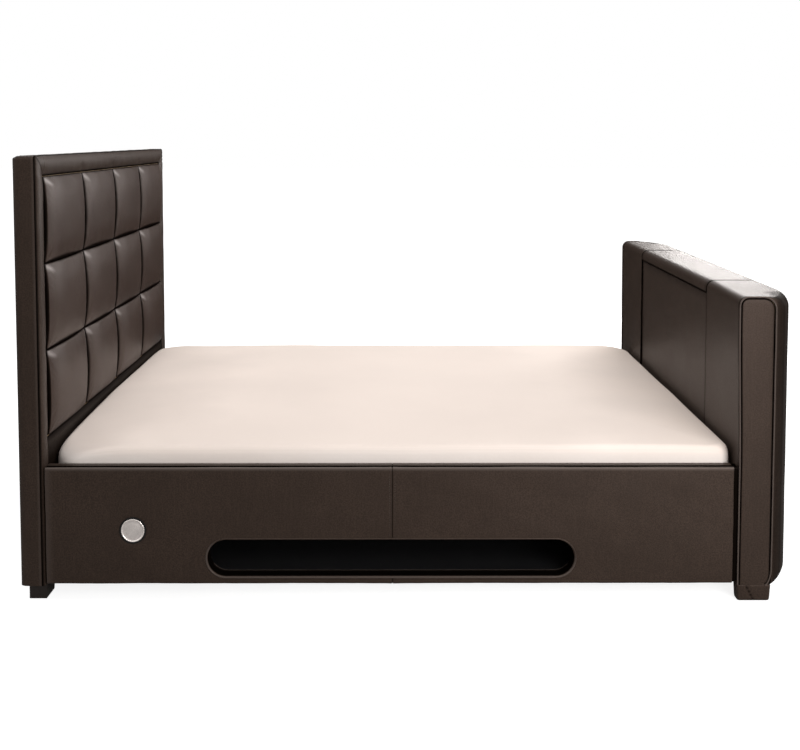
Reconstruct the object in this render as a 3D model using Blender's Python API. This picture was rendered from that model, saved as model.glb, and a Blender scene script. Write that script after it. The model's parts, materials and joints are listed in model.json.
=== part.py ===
"""King-size upholstered bed with a television lift inside its footboard.

X runs along the bed from the headboard (-X) to the footboard (+X), Y across it and Z up.
The origin is on the floor, under the middle of the bed. The near side is at -Y.
"""
import math

import bmesh
import bpy
from mathutils import Vector

# Driving dimensions
MATTRESS_LENGTH = 2.000
MATTRESS_WIDTH = 1.500
MATTRESS_THICKNESS = 0.205
MATTRESS_HEAD_GAP = 0.026
MATTRESS_FOOT_GAP = 0.010
MATTRESS_SIDE_GAP = 0.005
RAIL_HEIGHT = 0.352
RAIL_THICKNESS = 0.045
RAIL_FLOOR_GAP = 0.055
RAIL_END_GAP = 0.015
HEADBOARD_HEIGHT = 1.276
HEADBOARD_BAND_DEPTH = 0.065
HEADBOARD_BORDER_CROWN = 0.012
FOOTBOARD_HEIGHT = 0.8625
FOOTBOARD_DEPTH = 0.170
FOOT_HEIGHT = 0.050

# Fits shared by all pieces
CLEARANCE = 0.0003
OVERRUN = 0.004

# Places worked out from the driving dimensions
RAIL_LENGTH = MATTRESS_HEAD_GAP + MATTRESS_LENGTH + MATTRESS_FOOT_GAP
BED_WIDTH = MATTRESS_WIDTH + 2 * (MATTRESS_SIDE_GAP + RAIL_THICKNESS)
BED_LENGTH = (HEADBOARD_BAND_DEPTH + HEADBOARD_BORDER_CROWN + RAIL_LENGTH
              + RAIL_END_GAP + FOOTBOARD_DEPTH)
SIDE_Y = BED_WIDTH / 2
HEAD_BACK_X = -BED_LENGTH / 2
HEAD_SEAM_X = HEAD_BACK_X + HEADBOARD_BAND_DEPTH
RAIL_START_X = HEAD_SEAM_X + HEADBOARD_BORDER_CROWN
RAIL_END_X = RAIL_START_X + RAIL_LENGTH
FOOT_FACE_X = RAIL_END_X + RAIL_END_GAP
FOOT_OUTER_X = FOOT_FACE_X + FOOTBOARD_DEPTH
HEAD_TOP_Z = FOOT_HEIGHT + HEADBOARD_HEIGHT
FOOTBOARD_TOP_Z = FOOT_HEIGHT + FOOTBOARD_HEIGHT
RAIL_BOTTOM_Z = RAIL_FLOOR_GAP
RAIL_TOP_Z = RAIL_FLOOR_GAP + RAIL_HEIGHT
NEAR = -1
FAR = 1
SIDES = ((NEAR, "near"), (FAR, "far"))

# Finishes: linear colour, roughness, metallic
FINISHES = {
    "leather": ((0.040, 0.028, 0.023), 0.42, 0.0),
    "pad_leather": ((0.075, 0.055, 0.047), 0.38, 0.0),
    "ticking": ((0.83, 0.72, 0.62), 0.85, 0.0),
    "black_cloth": ((0.010, 0.010, 0.010), 0.90, 0.0),
    "softwood": ((0.62, 0.44, 0.25), 0.70, 0.0),
    "plywood": ((0.55, 0.40, 0.24), 0.65, 0.0),
    "beech": ((0.66, 0.47, 0.29), 0.50, 0.0),
    "black_board": ((0.012, 0.012, 0.012), 0.60, 0.0),
    "black_plastic": ((0.015, 0.015, 0.015), 0.45, 0.0),
    "black_steel": ((0.020, 0.020, 0.020), 0.40, 0.6),
    "zinc_steel": ((0.55, 0.56, 0.58), 0.35, 1.0),
    "aluminium": ((0.62, 0.63, 0.65), 0.32, 1.0),
    "brushed_metal": ((0.60, 0.59, 0.57), 0.30, 1.0),
}
SMOOTH_ANGLE = math.radians(38)


def clear_scene():
    for item in list(bpy.data.objects):
        bpy.data.objects.remove(item, do_unlink=True)


def make_finish(name, finish):
    colour, roughness, metallic = FINISHES[finish]
    material = bpy.data.materials.new(name)
    material.use_nodes = True
    shader = material.node_tree.nodes["Principled BSDF"]
    shader.inputs["Base Color"].default_value = (*colour, 1)
    shader.inputs["Roughness"].default_value = roughness
    shader.inputs["Metallic"].default_value = metallic
    material.diffuse_color = (*colour, 1)
    return material


def make_mesh(name, bm, origin):
    bmesh.ops.recalc_face_normals(bm, faces=bm.faces[:])
    bmesh.ops.translate(bm, verts=bm.verts[:], vec=-origin)
    mesh = bpy.data.meshes.new(name)
    bm.to_mesh(mesh)
    bm.free()
    return mesh


def make_part(name, finish, bm, origin):
    """Turn a mesh drawn in bed coordinates into a named part that pivots at its origin."""
    origin = Vector(origin)
    mesh = make_mesh(name, bm, origin)
    mesh.shade_smooth()
    mesh.set_sharp_from_angle(angle=SMOOTH_ANGLE)
    mesh.materials.append(make_finish(name, finish))
    part = bpy.data.objects.new(name, mesh)
    bpy.context.collection.objects.link(part)
    part.location = origin
    return part


def make_cutter(name, bm):
    cutter = bpy.data.objects.new(name, make_mesh(name, bm, Vector((0, 0, 0))))
    bpy.context.collection.objects.link(cutter)
    cutter.hide_render = True
    cutter.display_type = "WIRE"
    return cutter


def boolean(part, cutter, operation="DIFFERENCE"):
    modifier = part.modifiers.new(cutter.name, "BOOLEAN")
    modifier.object = cutter
    modifier.operation = operation
    modifier.solver = "EXACT"


def along_axis(axis, distance, point):
    """World point from a distance along an axis and a point across it."""
    first, second = point
    if axis == "X":
        return Vector((distance, first, second))
    if axis == "Y":
        return Vector((first, distance, second))
    return Vector((first, second, distance))


def add_loft(bm, rings, joined=False):
    """Skin a closed solid through rings of points: capped, or joined last to first."""
    rows = [[bm.verts.new(point) for point in ring] for ring in rings]
    followers = rows[1:] + rows[:1] if joined else rows[1:]
    for row, following in zip(rows, followers):
        for start in range(len(row)):
            end = (start + 1) % len(row)
            bm.faces.new((row[start], row[end], following[end], following[start]))
    if not joined:
        bm.faces.new(reversed(rows[0]))
        bm.faces.new(rows[-1])


def add_prism(bm, outline, axis, low, high):
    add_loft(bm, [[along_axis(axis, distance, point) for point in outline]
                  for distance in (low, high)])


def rectangle(low, high):
    return [(low[0], low[1]), (high[0], low[1]), (high[0], high[1]), (low[0], high[1])]


def add_box(bm, low, high):
    add_prism(bm, rectangle(low[:2], high[:2]), "Z", low[2], high[2])


def add_tube(bm, outer, inner, axis, low, high):
    """Prism with a hole right through: both outlines hold the same number of points."""
    levels = ((outer, low), (outer, high), (inner, high), (inner, low))
    add_loft(bm, [[along_axis(axis, distance, point) for point in outline]
                  for outline, distance in levels], joined=True)


def add_turned(bm, axis, centre, profile, sides):
    """Solid of revolution: profile holds (distance along the axis, radius)."""
    rings = []
    for distance, radius in profile:
        circle = arc(centre, (radius, radius), 0, full_turn(sides), sides - 1)
        rings.append([along_axis(axis, distance, point) for point in circle])
    add_loft(bm, rings)


def full_turn(sides):
    """Angle of the last point of a closed circle of this many sides."""
    return math.tau * (sides - 1) / sides


def arc(centre, radii, start, end, steps):
    """Points of an elliptical arc, ends included."""
    points = []
    for step in range(steps + 1):
        angle = start + (end - start) * step / steps
        points.append((centre[0] + radii[0] * math.cos(angle),
                       centre[1] + radii[1] * math.sin(angle)))
    return points


def stadium(centre, length, height, steps):
    """Outline of a slot with full round ends."""
    radius = height / 2
    reach = length / 2 - radius
    right = arc((centre[0] + reach, centre[1]), (radius, radius), -math.pi / 2, math.pi / 2, steps)
    left = arc((centre[0] - reach, centre[1]), (radius, radius), math.pi / 2, math.pi * 1.5, steps)
    return right + left


def on_plane_y(first, second, y):
    return abs(first.y - y) < CLEARANCE and abs(second.y - y) < CLEARANCE


def bevel_edges(bm, chosen, radius, steps):
    """Round the edges for which chosen(first, second) is true."""
    edges = [edge for edge in bm.edges if chosen(edge.verts[0].co, edge.verts[1].co)]
    bmesh.ops.bevel(bm, geom=edges, offset=radius, segments=steps, profile=0.5, affect="EDGES")


def box_part(name, finish, low, high):
    """Plain rectangular board, pivoting at the middle of its underside."""
    bm = bmesh.new()
    add_box(bm, low, high)
    return make_part(name, finish, bm, ((low[0] + high[0]) / 2, (low[1] + high[1]) / 2, low[2]))


def mirrored(side, low, high):
    """A y range given for the far side, moved to the side asked for."""
    return (low, high) if side == FAR else (-high, -low)


# Headboard band: leather that wraps both sides, the top and the rim of the back
BAND_THICKNESS = 0.009
BAND_BACK_RADIUS = 0.024
BAND_WRAP = 0.045
BAND_ARC_STEPS = 4


def band_section():
    """(x, inset from the outside) points of the band."""
    outer = arc((HEAD_BACK_X + BAND_BACK_RADIUS, BAND_BACK_RADIUS),
                (BAND_BACK_RADIUS, BAND_BACK_RADIUS), -math.pi / 2, -math.pi, BAND_ARC_STEPS)
    return ([(HEAD_SEAM_X, 0)] + outer
            + [(HEAD_BACK_X, BAND_WRAP),
               (HEAD_BACK_X + BAND_THICKNESS, BAND_WRAP),
               (HEAD_BACK_X + BAND_THICKNESS, BAND_THICKNESS),
               (HEAD_SEAM_X, BAND_THICKNESS)])


def headboard_band():
    bm = bmesh.new()
    rings = []
    for side, height_is_top in ((NEAR, False), (NEAR, True), (FAR, True), (FAR, False)):
        ring = []
        for x, inset in band_section():
            z = HEAD_TOP_Z - inset if height_is_top else FOOT_HEIGHT
            ring.append((x, side * (SIDE_Y - inset), z))
        rings.append(ring)
    add_loft(bm, rings)
    return make_part("headboard_side_band", "leather", bm, origin=(HEAD_SEAM_X, 0, HEAD_TOP_Z))


# Headboard front: border strip, pads and lower panel, all on the front board
BORDER_WIDTH = 0.0624
BORDER_EDGE = 0.005
BORDER_SHARES = ((0, 0), (0.04, 0.55), (0.2, 0.9), (0.5, 1), (0.8, 0.85), (0.96, 0.4), (1, 0))
BORDER_PINCH_SHARE = 0.55
PAD_ROWS = 3
PAD_COLUMNS = 4
PAD_HEIGHT = 0.260
PAD_GAP = 0.0006
PAD_EDGE = 0.006
PAD_EDGE_RISE = 0.009
PAD_CROWN = 0.029
PAD_STEPS = 6
LOWER_PANEL_CROWN = 0.0115
LOWER_PANEL_RISE = 0.002
PAD_FIELD_WIDTH = BED_WIDTH - 2 * BORDER_WIDTH
PAD_PITCH = PAD_FIELD_WIDTH / PAD_COLUMNS
PAD_TOP_Z = HEAD_TOP_Z - BORDER_WIDTH
PAD_BOTTOM_Z = PAD_TOP_Z - PAD_ROWS * PAD_HEIGHT
PAD_BACK_X = HEAD_SEAM_X + CLEARANCE


def pinched_stations(low, high, count):
    """(place, crown share) along a border leg: pinched at each pad corner, full between."""
    pitch = (high - low) / count
    stations = []
    for step in range(2 * count):
        share = 1 if step % 2 else BORDER_PINCH_SHARE
        stations.append((low + pitch * step / 2, share))
    return stations + [(high, BORDER_PINCH_SHARE)]


def border_stations():
    """(outer point, inner point, crown share) in YZ, up one leg, over the top and down."""
    inner_y = PAD_FIELD_WIDTH / 2 + PAD_GAP / 2
    inner_z = PAD_TOP_Z + PAD_GAP / 2
    rises = [(FOOT_HEIGHT, 1), ((FOOT_HEIGHT + PAD_BOTTOM_Z) / 2, 1)]
    rises += pinched_stations(PAD_BOTTOM_Z, PAD_TOP_Z, PAD_ROWS)[:-1]
    across = pinched_stations(-PAD_FIELD_WIDTH / 2, PAD_FIELD_WIDTH / 2, PAD_COLUMNS)[1:-1]
    near_leg = [((-SIDE_Y, z), (-inner_y, z), share) for z, share in rises]
    far_leg = [((SIDE_Y, z), (inner_y, z), share) for z, share in reversed(rises)]
    top = [((y, HEAD_TOP_Z), (y, inner_z), share) for y, share in across]
    near_mitre = [((-SIDE_Y, HEAD_TOP_Z), (-inner_y, inner_z), BORDER_PINCH_SHARE)]
    far_mitre = [((SIDE_Y, HEAD_TOP_Z), (inner_y, inner_z), BORDER_PINCH_SHARE)]
    return near_leg + near_mitre + top + far_mitre + far_leg


def headboard_border():
    bm = bmesh.new()
    rings = []
    for outer, inner, share in border_stations():
        crown = HEADBOARD_BORDER_CROWN - CLEARANCE - BORDER_EDGE
        ring = [(PAD_BACK_X, *outer), (PAD_BACK_X, *inner)]
        for across, lift in reversed(BORDER_SHARES):
            y = outer[0] + (inner[0] - outer[0]) * across
            z = outer[1] + (inner[1] - outer[1]) * across
            ring.append((PAD_BACK_X + BORDER_EDGE + crown * lift * share, y, z))
        rings.append(ring)
    add_loft(bm, rings)
    return make_part("headboard_border", "leather", bm, origin=(PAD_BACK_X, 0, HEAD_TOP_Z))


def pillow_height(u, v, edge, rise, crown):
    """Depth of a stuffed square at (u, v), each from -1 to 1: low at its pinched corners."""
    sides = rise * ((1 - v * v) * u * u + (1 - u * u) * v * v)
    middle = (crown - edge) * (1 - u ** 4) * (1 - v ** 4)
    return edge + sides + middle


def add_pillows(bm, columns, width, height, edge, rise, crown):
    """Row of stuffed squares sewn side by side, centred on the X axis, with its back at x = 0."""
    shares = [math.sin(math.pi / 2 * (2 * step / PAD_STEPS - 1)) for step in range(PAD_STEPS + 1)]
    places = [(column, u) for column in range(columns) for u in shares[:-1]]
    places.append((columns - 1, shares[-1]))
    front = []
    for v in shares:
        row = []
        for column, u in places:
            y = width * (column + (1 + u) / 2 - columns / 2)
            row.append(bm.verts.new((pillow_height(u, v, edge, rise, crown), y, v * height / 2)))
        front.append(row)
    for row, following in zip(front, front[1:]):
        for left in range(len(row) - 1):
            bm.faces.new((row[left], row[left + 1], following[left + 1], following[left]))
    rim = (front[0] + [row[-1] for row in front[1:]] + front[-1][-2::-1]
           + [row[0] for row in front[-2:0:-1]])
    back = [bm.verts.new((0, vert.co.y, vert.co.z)) for vert in rim]
    for start in range(len(rim)):
        end = (start + 1) % len(rim)
        bm.faces.new((rim[start], back[start], back[end], rim[end]))
    bm.faces.new(back)


def headboard_pads():
    bm = bmesh.new()
    width = PAD_PITCH - PAD_GAP / PAD_COLUMNS
    add_pillows(bm, PAD_COLUMNS, width, PAD_HEIGHT - PAD_GAP, PAD_EDGE, PAD_EDGE_RISE, PAD_CROWN)
    first = make_part("headboard_pads_1", "pad_leather", bm, (0, 0, 0))
    for row in range(PAD_ROWS):
        pads = first
        if row:
            pads = bpy.data.objects.new(f"headboard_pads_{row + 1}", first.data)
            bpy.context.collection.objects.link(pads)
        pads.location = (PAD_BACK_X, 0, PAD_TOP_Z - PAD_HEIGHT * (row + 0.5))


def headboard_lower_panel():
    height = PAD_BOTTOM_Z - FOOT_HEIGHT
    bm = bmesh.new()
    add_pillows(bm, 1, PAD_FIELD_WIDTH - PAD_GAP, height - PAD_GAP,
                PAD_EDGE, LOWER_PANEL_RISE, LOWER_PANEL_CROWN)
    centre = Vector((PAD_BACK_X, 0, FOOT_HEIGHT + height / 2))
    bmesh.ops.translate(bm, verts=bm.verts[:], vec=centre)
    return make_part("headboard_lower_panel", "leather", bm, origin=centre)


# Headboard structure: a timber frame between the front board and the back panel
FRONT_BOARD_THICKNESS = 0.012
BACK_PANEL_THICKNESS = 0.003
STILE_WIDTH = 0.070
CROSS_RAIL_HEIGHT = 0.060
FRAME_INSET = BAND_THICKNESS + CLEARANCE
FRAME_BACK_X = HEAD_BACK_X + FRAME_INSET
FRAME_FRONT_X = HEAD_SEAM_X - FRONT_BOARD_THICKNESS - CLEARANCE
FRAME_HALF_WIDTH = SIDE_Y - FRAME_INSET
FRAME_TOP_Z = HEAD_TOP_Z - FRAME_INSET


def headboard_frame():
    """Two stiles and three cross rails, with a short post between the upper two."""
    frame = box_part("headboard_frame", "softwood",
                     (FRAME_BACK_X, -FRAME_HALF_WIDTH, FOOT_HEIGHT),
                     (FRAME_FRONT_X, FRAME_HALF_WIDTH, FRAME_TOP_Z))
    reach = FRAME_HALF_WIDTH - STILE_WIDTH
    half_post = STILE_WIDTH / 2
    middle_low = PAD_BOTTOM_Z - CROSS_RAIL_HEIGHT / 2
    upper = (middle_low + CROSS_RAIL_HEIGHT, FRAME_TOP_Z - CROSS_RAIL_HEIGHT)
    lower = (FOOT_HEIGHT + CROSS_RAIL_HEIGHT, middle_low)
    bays = bmesh.new()
    for y_range, z_range in (((-reach, -half_post), upper), ((half_post, reach), upper),
                             ((-reach, reach), lower)):
        add_box(bays, (FRAME_BACK_X - OVERRUN, y_range[0], z_range[0]),
                (FRAME_FRONT_X + OVERRUN, y_range[1], z_range[1]))
    boolean(frame, make_cutter("frame_bays", bays))
    return frame


def headboard_boards():
    front = box_part("headboard_front_board", "plywood",
                     (HEAD_SEAM_X - FRONT_BOARD_THICKNESS, -FRAME_HALF_WIDTH, FOOT_HEIGHT),
                     (HEAD_SEAM_X, FRAME_HALF_WIDTH, FRAME_TOP_Z))
    back_x = FRAME_BACK_X - CLEARANCE
    reach = SIDE_Y - BAND_WRAP - CLEARANCE
    box_part("headboard_back_panel", "black_cloth",
             (back_x - BACK_PANEL_THICKNESS, -reach, FOOT_HEIGHT),
             (back_x, reach, HEAD_TOP_Z - BAND_WRAP - CLEARANCE))
    return front


# Side rails: an upholstered cover over a board, with a slot on the near side
COVER_FRONT = 0.010
COVER_TOP = 0.006
COVER_LIP = 0.002
COVER_LIP_GAP = 0.003
COVER_ROUND = 0.008
COVER_ROUND_STEPS = 3
BOARD_BOTTOM_GAP = 0.003
SLOT_LENGTH = 1.0868
SLOT_HEIGHT = 0.1088
SLOT_FROM_START = 0.4786
SLOT_RISE = 0.0246
SLOT_LINING = 0.0045
SLOT_STEPS = 8
DISC_DIAMETER = 0.070
DISC_THICKNESS = 0.0035
DISC_RIM = 0.0045
DISC_DISH = 0.0010
DISC_FROM_START = 0.2587
DISC_RISE = 0.1631
DISC_SIDES = 24
LEDGE_HEIGHT = 0.040
LEDGE_RISE = 0.0156
SLOT_CENTRE_X = RAIL_START_X + SLOT_FROM_START + SLOT_LENGTH / 2
SLOT_CENTRE_Z = RAIL_BOTTOM_Z + SLOT_RISE + SLOT_HEIGHT / 2
LEDGE_BOTTOM_Z = SLOT_CENTRE_Z + SLOT_HEIGHT / 2 + LEDGE_RISE
LEDGE_TOP_Z = LEDGE_BOTTOM_Z + LEDGE_HEIGHT
COVER_LIP_Z = LEDGE_TOP_Z + COVER_LIP_GAP
BOARD_OUTER_Y = SIDE_Y - COVER_FRONT
BOARD_INNER_Y = SIDE_Y - RAIL_THICKNESS + COVER_LIP
BOARD_TOP_Z = RAIL_TOP_Z - COVER_TOP
BOARD_BOTTOM_Z = RAIL_BOTTOM_Z + BOARD_BOTTOM_GAP
BOARD_END_X = FOOT_FACE_X - CLEARANCE


def rail_cavity(side):
    """Room for the board inside a cover, open below, behind and at both ends."""
    outline = [(BOARD_OUTER_Y + CLEARANCE, RAIL_BOTTOM_Z - OVERRUN),
               (SIDE_Y - RAIL_THICKNESS - OVERRUN, RAIL_BOTTOM_Z - OVERRUN),
               (SIDE_Y - RAIL_THICKNESS - OVERRUN, COVER_LIP_Z),
               (BOARD_INNER_Y - CLEARANCE, COVER_LIP_Z),
               (BOARD_INNER_Y - CLEARANCE, BOARD_TOP_Z + CLEARANCE),
               (BOARD_OUTER_Y + CLEARANCE, BOARD_TOP_Z + CLEARANCE)]
    bm = bmesh.new()
    add_prism(bm, [(side * y, z) for y, z in outline], "X",
              RAIL_START_X - OVERRUN, RAIL_END_X + OVERRUN)
    return bm


def slot_cutter(name, spare, low_y, high_y):
    outline = stadium((SLOT_CENTRE_X, SLOT_CENTRE_Z), SLOT_LENGTH + 2 * spare,
                      SLOT_HEIGHT + 2 * spare, SLOT_STEPS)
    bm = bmesh.new()
    add_prism(bm, outline, "Y", low_y, high_y)
    return make_cutter(name, bm)


def rail_cover(side, label):
    bm = bmesh.new()
    low, high = mirrored(side, SIDE_Y - RAIL_THICKNESS, SIDE_Y)
    add_box(bm, (RAIL_START_X + CLEARANCE, low, RAIL_BOTTOM_Z), (RAIL_END_X, high, RAIL_TOP_Z))
    outer_y = side * SIDE_Y
    bevel_edges(bm, lambda first, second: on_plane_y(first, second, outer_y),
                COVER_ROUND, COVER_ROUND_STEPS)
    cover = make_part(f"rail_cover_{label}", "leather", bm,
                      origin=((RAIL_START_X + RAIL_END_X) / 2, outer_y, RAIL_BOTTOM_Z))
    cavity = make_cutter(f"rail_cavity_{label}", rail_cavity(side))
    boolean(cover, cavity)
    return cover, cavity


def rail_board(side, label):
    low, high = mirrored(side, BOARD_INNER_Y, BOARD_OUTER_Y)
    return box_part(f"rail_board_{label}", "softwood",
                    (RAIL_START_X + CLEARANCE, low, BOARD_BOTTOM_Z),
                    (BOARD_END_X, high, BOARD_TOP_Z))


def disc_centre():
    return RAIL_START_X + DISC_FROM_START, RAIL_BOTTOM_Z + DISC_RISE


def rail_disc(cover):
    """Round metal disc with a raised rim, let into the cover until it is flush."""
    radius = DISC_DIAMETER / 2
    face = -SIDE_Y + CLEARANCE
    back = face + DISC_THICKNESS
    dish = radius - DISC_RIM
    bm = bmesh.new()
    add_turned(bm, "Y", disc_centre(),
               [(back, radius), (face + DISC_DISH, radius), (face, radius - DISC_DISH),
                (face, dish + DISC_DISH), (face + DISC_DISH, dish)], DISC_SIDES)
    centre_x, centre_z = disc_centre()
    disc = make_part("rail_disc", "brushed_metal", bm, origin=(centre_x, face, centre_z))
    recess = bmesh.new()
    add_turned(recess, "Y", disc_centre(),
               [(-SIDE_Y - OVERRUN, radius + CLEARANCE), (back + CLEARANCE, radius + CLEARANCE)],
               DISC_SIDES)
    boolean(cover, make_cutter("disc_recess", recess))
    return disc


def side_rails():
    boards = []
    for side, label in SIDES:
        cover, cavity = rail_cover(side, label)
        board = rail_board(side, label)
        boards.append(board)
        if side == NEAR:
            lining = slot_cutter("slot_lining", SLOT_LINING, -SIDE_Y, -SIDE_Y + 2 * RAIL_THICKNESS)
            boolean(cavity, lining)
            opening = slot_cutter("slot_opening", 0, -SIDE_Y - OVERRUN,
                                  -SIDE_Y + RAIL_THICKNESS + OVERRUN)
            boolean(cover, opening)
            boolean(board, slot_cutter("slot_in_board", SLOT_LINING + CLEARANCE,
                                       -SIDE_Y, -SIDE_Y + RAIL_THICKNESS))
            rail_disc(cover)
    return boards


# Bed base: two rows of sprung slats, each on its ledge, and a centre rail on legs
LEDGE_WIDTH = 0.030
LEDGE_END_GAP = 0.020
CENTRE_RAIL_WIDTH = 0.040
CENTRE_LEG_RADIUS = 0.018
CENTRE_LEG_SHOE_RADIUS = 0.025
CENTRE_LEG_SHOE_HEIGHT = 0.010
CENTRE_LEG_SPREAD = 0.900
CENTRE_LEG_SIDES = 12
SLATS_PER_ROW = 13
SLAT_WIDTH = 0.060
SLAT_THICKNESS = 0.008
SLAT_BOW = 0.008
SLAT_BOW_STEPS = 6
SLAT_END_MARGIN = 0.0705
CAP_FLOOR = 0.003
CAP_WALL = 0.004
CAP_DEPTH = 0.028
CAP_BITE = 0.002
LEDGE_OUTER_Y = BOARD_INNER_Y - CLEARANCE
CAP_FLOOR_Z = LEDGE_TOP_Z + CAP_FLOOR
SLAT_BOTTOM_Z = CAP_FLOOR_Z + CLEARANCE
SLAT_CROWN_Z = SLAT_BOTTOM_Z + SLAT_BOW + SLAT_THICKNESS
BASE_CENTRE_X = (RAIL_START_X + FOOT_FACE_X) / 2
SLAT_FIELD_LENGTH = FOOT_FACE_X - RAIL_START_X - 2 * (LEDGE_END_GAP + SLAT_END_MARGIN)


def slat_places():
    pitch = (SLAT_FIELD_LENGTH - SLAT_WIDTH) / (SLATS_PER_ROW - 1)
    return [BASE_CENTRE_X + pitch * (number - (SLATS_PER_ROW - 1) / 2)
            for number in range(SLATS_PER_ROW)]


def add_slat(bm, centre_x, low, high):
    rings = []
    for step in range(SLAT_BOW_STEPS + 1):
        share = step / SLAT_BOW_STEPS
        bottom = SLAT_BOTTOM_Z + SLAT_BOW * (1 - (2 * share - 1) ** 2)
        outline = rectangle((centre_x - SLAT_WIDTH / 2, bottom),
                            (centre_x + SLAT_WIDTH / 2, bottom + SLAT_THICKNESS))
        rings.append([along_axis("Y", low + (high - low) * share, point) for point in outline])
    add_loft(bm, rings)


def slat_row(side, label):
    """Ledge on the rail board, with a closed cap for each slat, and the slats in their caps."""
    low, high = mirrored(side, LEDGE_OUTER_Y - LEDGE_WIDTH, LEDGE_OUTER_Y)
    row = box_part(f"slat_row_{label}", "beech",
                   (RAIL_START_X + LEDGE_END_GAP, low, LEDGE_BOTTOM_Z),
                   (FOOT_FACE_X - LEDGE_END_GAP, high, LEDGE_TOP_Z))
    cap_end = SIDE_Y - RAIL_THICKNESS - CLEARANCE
    cap_reach = SLAT_WIDTH / 2 + CAP_WALL
    cap_top = SLAT_BOTTOM_Z + SLAT_THICKNESS + CAP_BITE
    caps = bmesh.new()
    slats = bmesh.new()
    for centre_x in slat_places():
        low, high = mirrored(side, cap_end - CAP_DEPTH, cap_end)
        add_box(caps, (centre_x - cap_reach, low, LEDGE_TOP_Z - CAP_BITE),
                (centre_x + cap_reach, high, cap_top))
        add_slat(slats, centre_x, *mirrored(side, CAP_BITE, cap_end - CAP_WALL))
    boolean(row, make_cutter(f"slat_caps_{label}", caps), "UNION")
    boolean(row, make_cutter(f"slats_{label}", slats), "UNION")
    return row


def centre_rail():
    """Steel rail under the inner ends of the slats, with a saddle for each pair."""
    half = CENTRE_RAIL_WIDTH / 2
    rail = box_part("centre_rail", "black_steel",
                    (PAD_BACK_X + LOWER_PANEL_CROWN + CLEARANCE, -half, LEDGE_BOTTOM_Z),
                    (FOOT_FACE_X - CLEARANCE, half, LEDGE_TOP_Z))
    saddles = bmesh.new()
    for centre_x in slat_places():
        add_prism(saddles, saddle_outline(centre_x), "Y", CAP_BITE - half, half - CAP_BITE)
    boolean(rail, make_cutter("centre_saddles", saddles), "UNION")
    return rail


def saddle_outline(centre_x):
    """U section that a slat lies in."""
    inside = SLAT_WIDTH / 2 + CLEARANCE
    outside = inside + CAP_WALL
    low = LEDGE_TOP_Z - CAP_BITE
    top = CAP_FLOOR_Z + SLAT_THICKNESS
    right = [(outside, low), (outside, top), (inside, top), (inside, CAP_FLOOR_Z)]
    left = [(-x, z) for x, z in reversed(right)]
    return [(centre_x + x, z) for x, z in right + left]


def centre_leg(side, label):
    centre = (BASE_CENTRE_X + side * CENTRE_LEG_SPREAD / 2, 0)
    top_z = LEDGE_BOTTOM_Z - CLEARANCE
    bm = bmesh.new()
    add_turned(bm, "Z", centre,
               [(0, CENTRE_LEG_SHOE_RADIUS), (CENTRE_LEG_SHOE_HEIGHT, CENTRE_LEG_SHOE_RADIUS),
                (CENTRE_LEG_SHOE_HEIGHT, CENTRE_LEG_RADIUS), (top_z, CENTRE_LEG_RADIUS)],
               CENTRE_LEG_SIDES)
    return make_part(f"centre_leg_{label}", "black_steel", bm, origin=(*centre, 0))


# Media shelf: a tray behind the slot, on a steel angle
SHELF_MARGIN = 0.056
SHELF_DEPTH = 0.380
SHELF_FLOOR = 0.015
SHELF_WALL = 0.012
SHELF_HEADROOM = 0.0091
SHELF_DROP = 0.0047
BRACKET_STEEL = 0.003
BRACKET_RISE = 0.017
BRACKET_REACH = 0.340
BRACKET_END_GAP = 0.030
SHELF_TOP_Z = SLOT_CENTRE_Z - SLOT_HEIGHT / 2 - SHELF_DROP
SHELF_BOTTOM_Z = SHELF_TOP_Z - SHELF_FLOOR
SHELF_FRONT_Y = -BOARD_INNER_Y + BRACKET_STEEL + 2 * CLEARANCE
SHELF_HALF_LENGTH = SLOT_LENGTH / 2 + SHELF_MARGIN


def media_shelf():
    bm = bmesh.new()
    low = (SLOT_CENTRE_X - SHELF_HALF_LENGTH, SHELF_FRONT_Y, SHELF_BOTTOM_Z)
    high = (SLOT_CENTRE_X + SHELF_HALF_LENGTH, SHELF_FRONT_Y + SHELF_DEPTH,
            LEDGE_BOTTOM_Z - SHELF_HEADROOM)
    add_box(bm, low, high)
    shelf = make_part("media_shelf", "black_board", bm,
                      origin=(SLOT_CENTRE_X, SHELF_FRONT_Y, SHELF_BOTTOM_Z))
    room = bmesh.new()
    add_box(room, (low[0] + SHELF_WALL, low[1] - OVERRUN, SHELF_TOP_Z),
            (high[0] - SHELF_WALL, high[1] - SHELF_WALL, high[2] + OVERRUN))
    boolean(shelf, make_cutter("shelf_room", room))
    return shelf


def shelf_bracket():
    """Steel angle along the rail board: its flange is under the slot, its arm under the tray."""
    arm_top = SHELF_BOTTOM_Z - CLEARANCE
    wall_y = -BOARD_INNER_Y + CLEARANCE
    arm_low = arm_top - BRACKET_STEEL
    outline = [(wall_y, arm_low), (wall_y + BRACKET_REACH, arm_low),
               (wall_y + BRACKET_REACH, arm_top), (wall_y + BRACKET_STEEL, arm_top),
               (wall_y + BRACKET_STEEL, arm_low + BRACKET_RISE), (wall_y, arm_low + BRACKET_RISE)]
    reach = SHELF_HALF_LENGTH - BRACKET_END_GAP
    bm = bmesh.new()
    add_prism(bm, outline, "X", SLOT_CENTRE_X - reach, SLOT_CENTRE_X + reach)
    return make_part("shelf_bracket", "zinc_steel", bm, origin=(SLOT_CENTRE_X, wall_y, arm_low))


# Mattress: one closed soft form with rounded corners, rolled edges and a low crown
MATTRESS_CORNER_RADIUS = 0.070
MATTRESS_CORNER_STEPS = 5
MATTRESS_ROLL = 0.025
MATTRESS_CROWN = 0.012
# height share of the side, inset share of the roll
MATTRESS_SIDE_SHARES = ((0, 0.70), (0.03, 0.30), (0.09, 0.06), (0.20, 0), (0.82, 0),
                        (0.91, 0.10), (0.96, 0.32), (0.99, 0.65), (1, 1))
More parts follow.
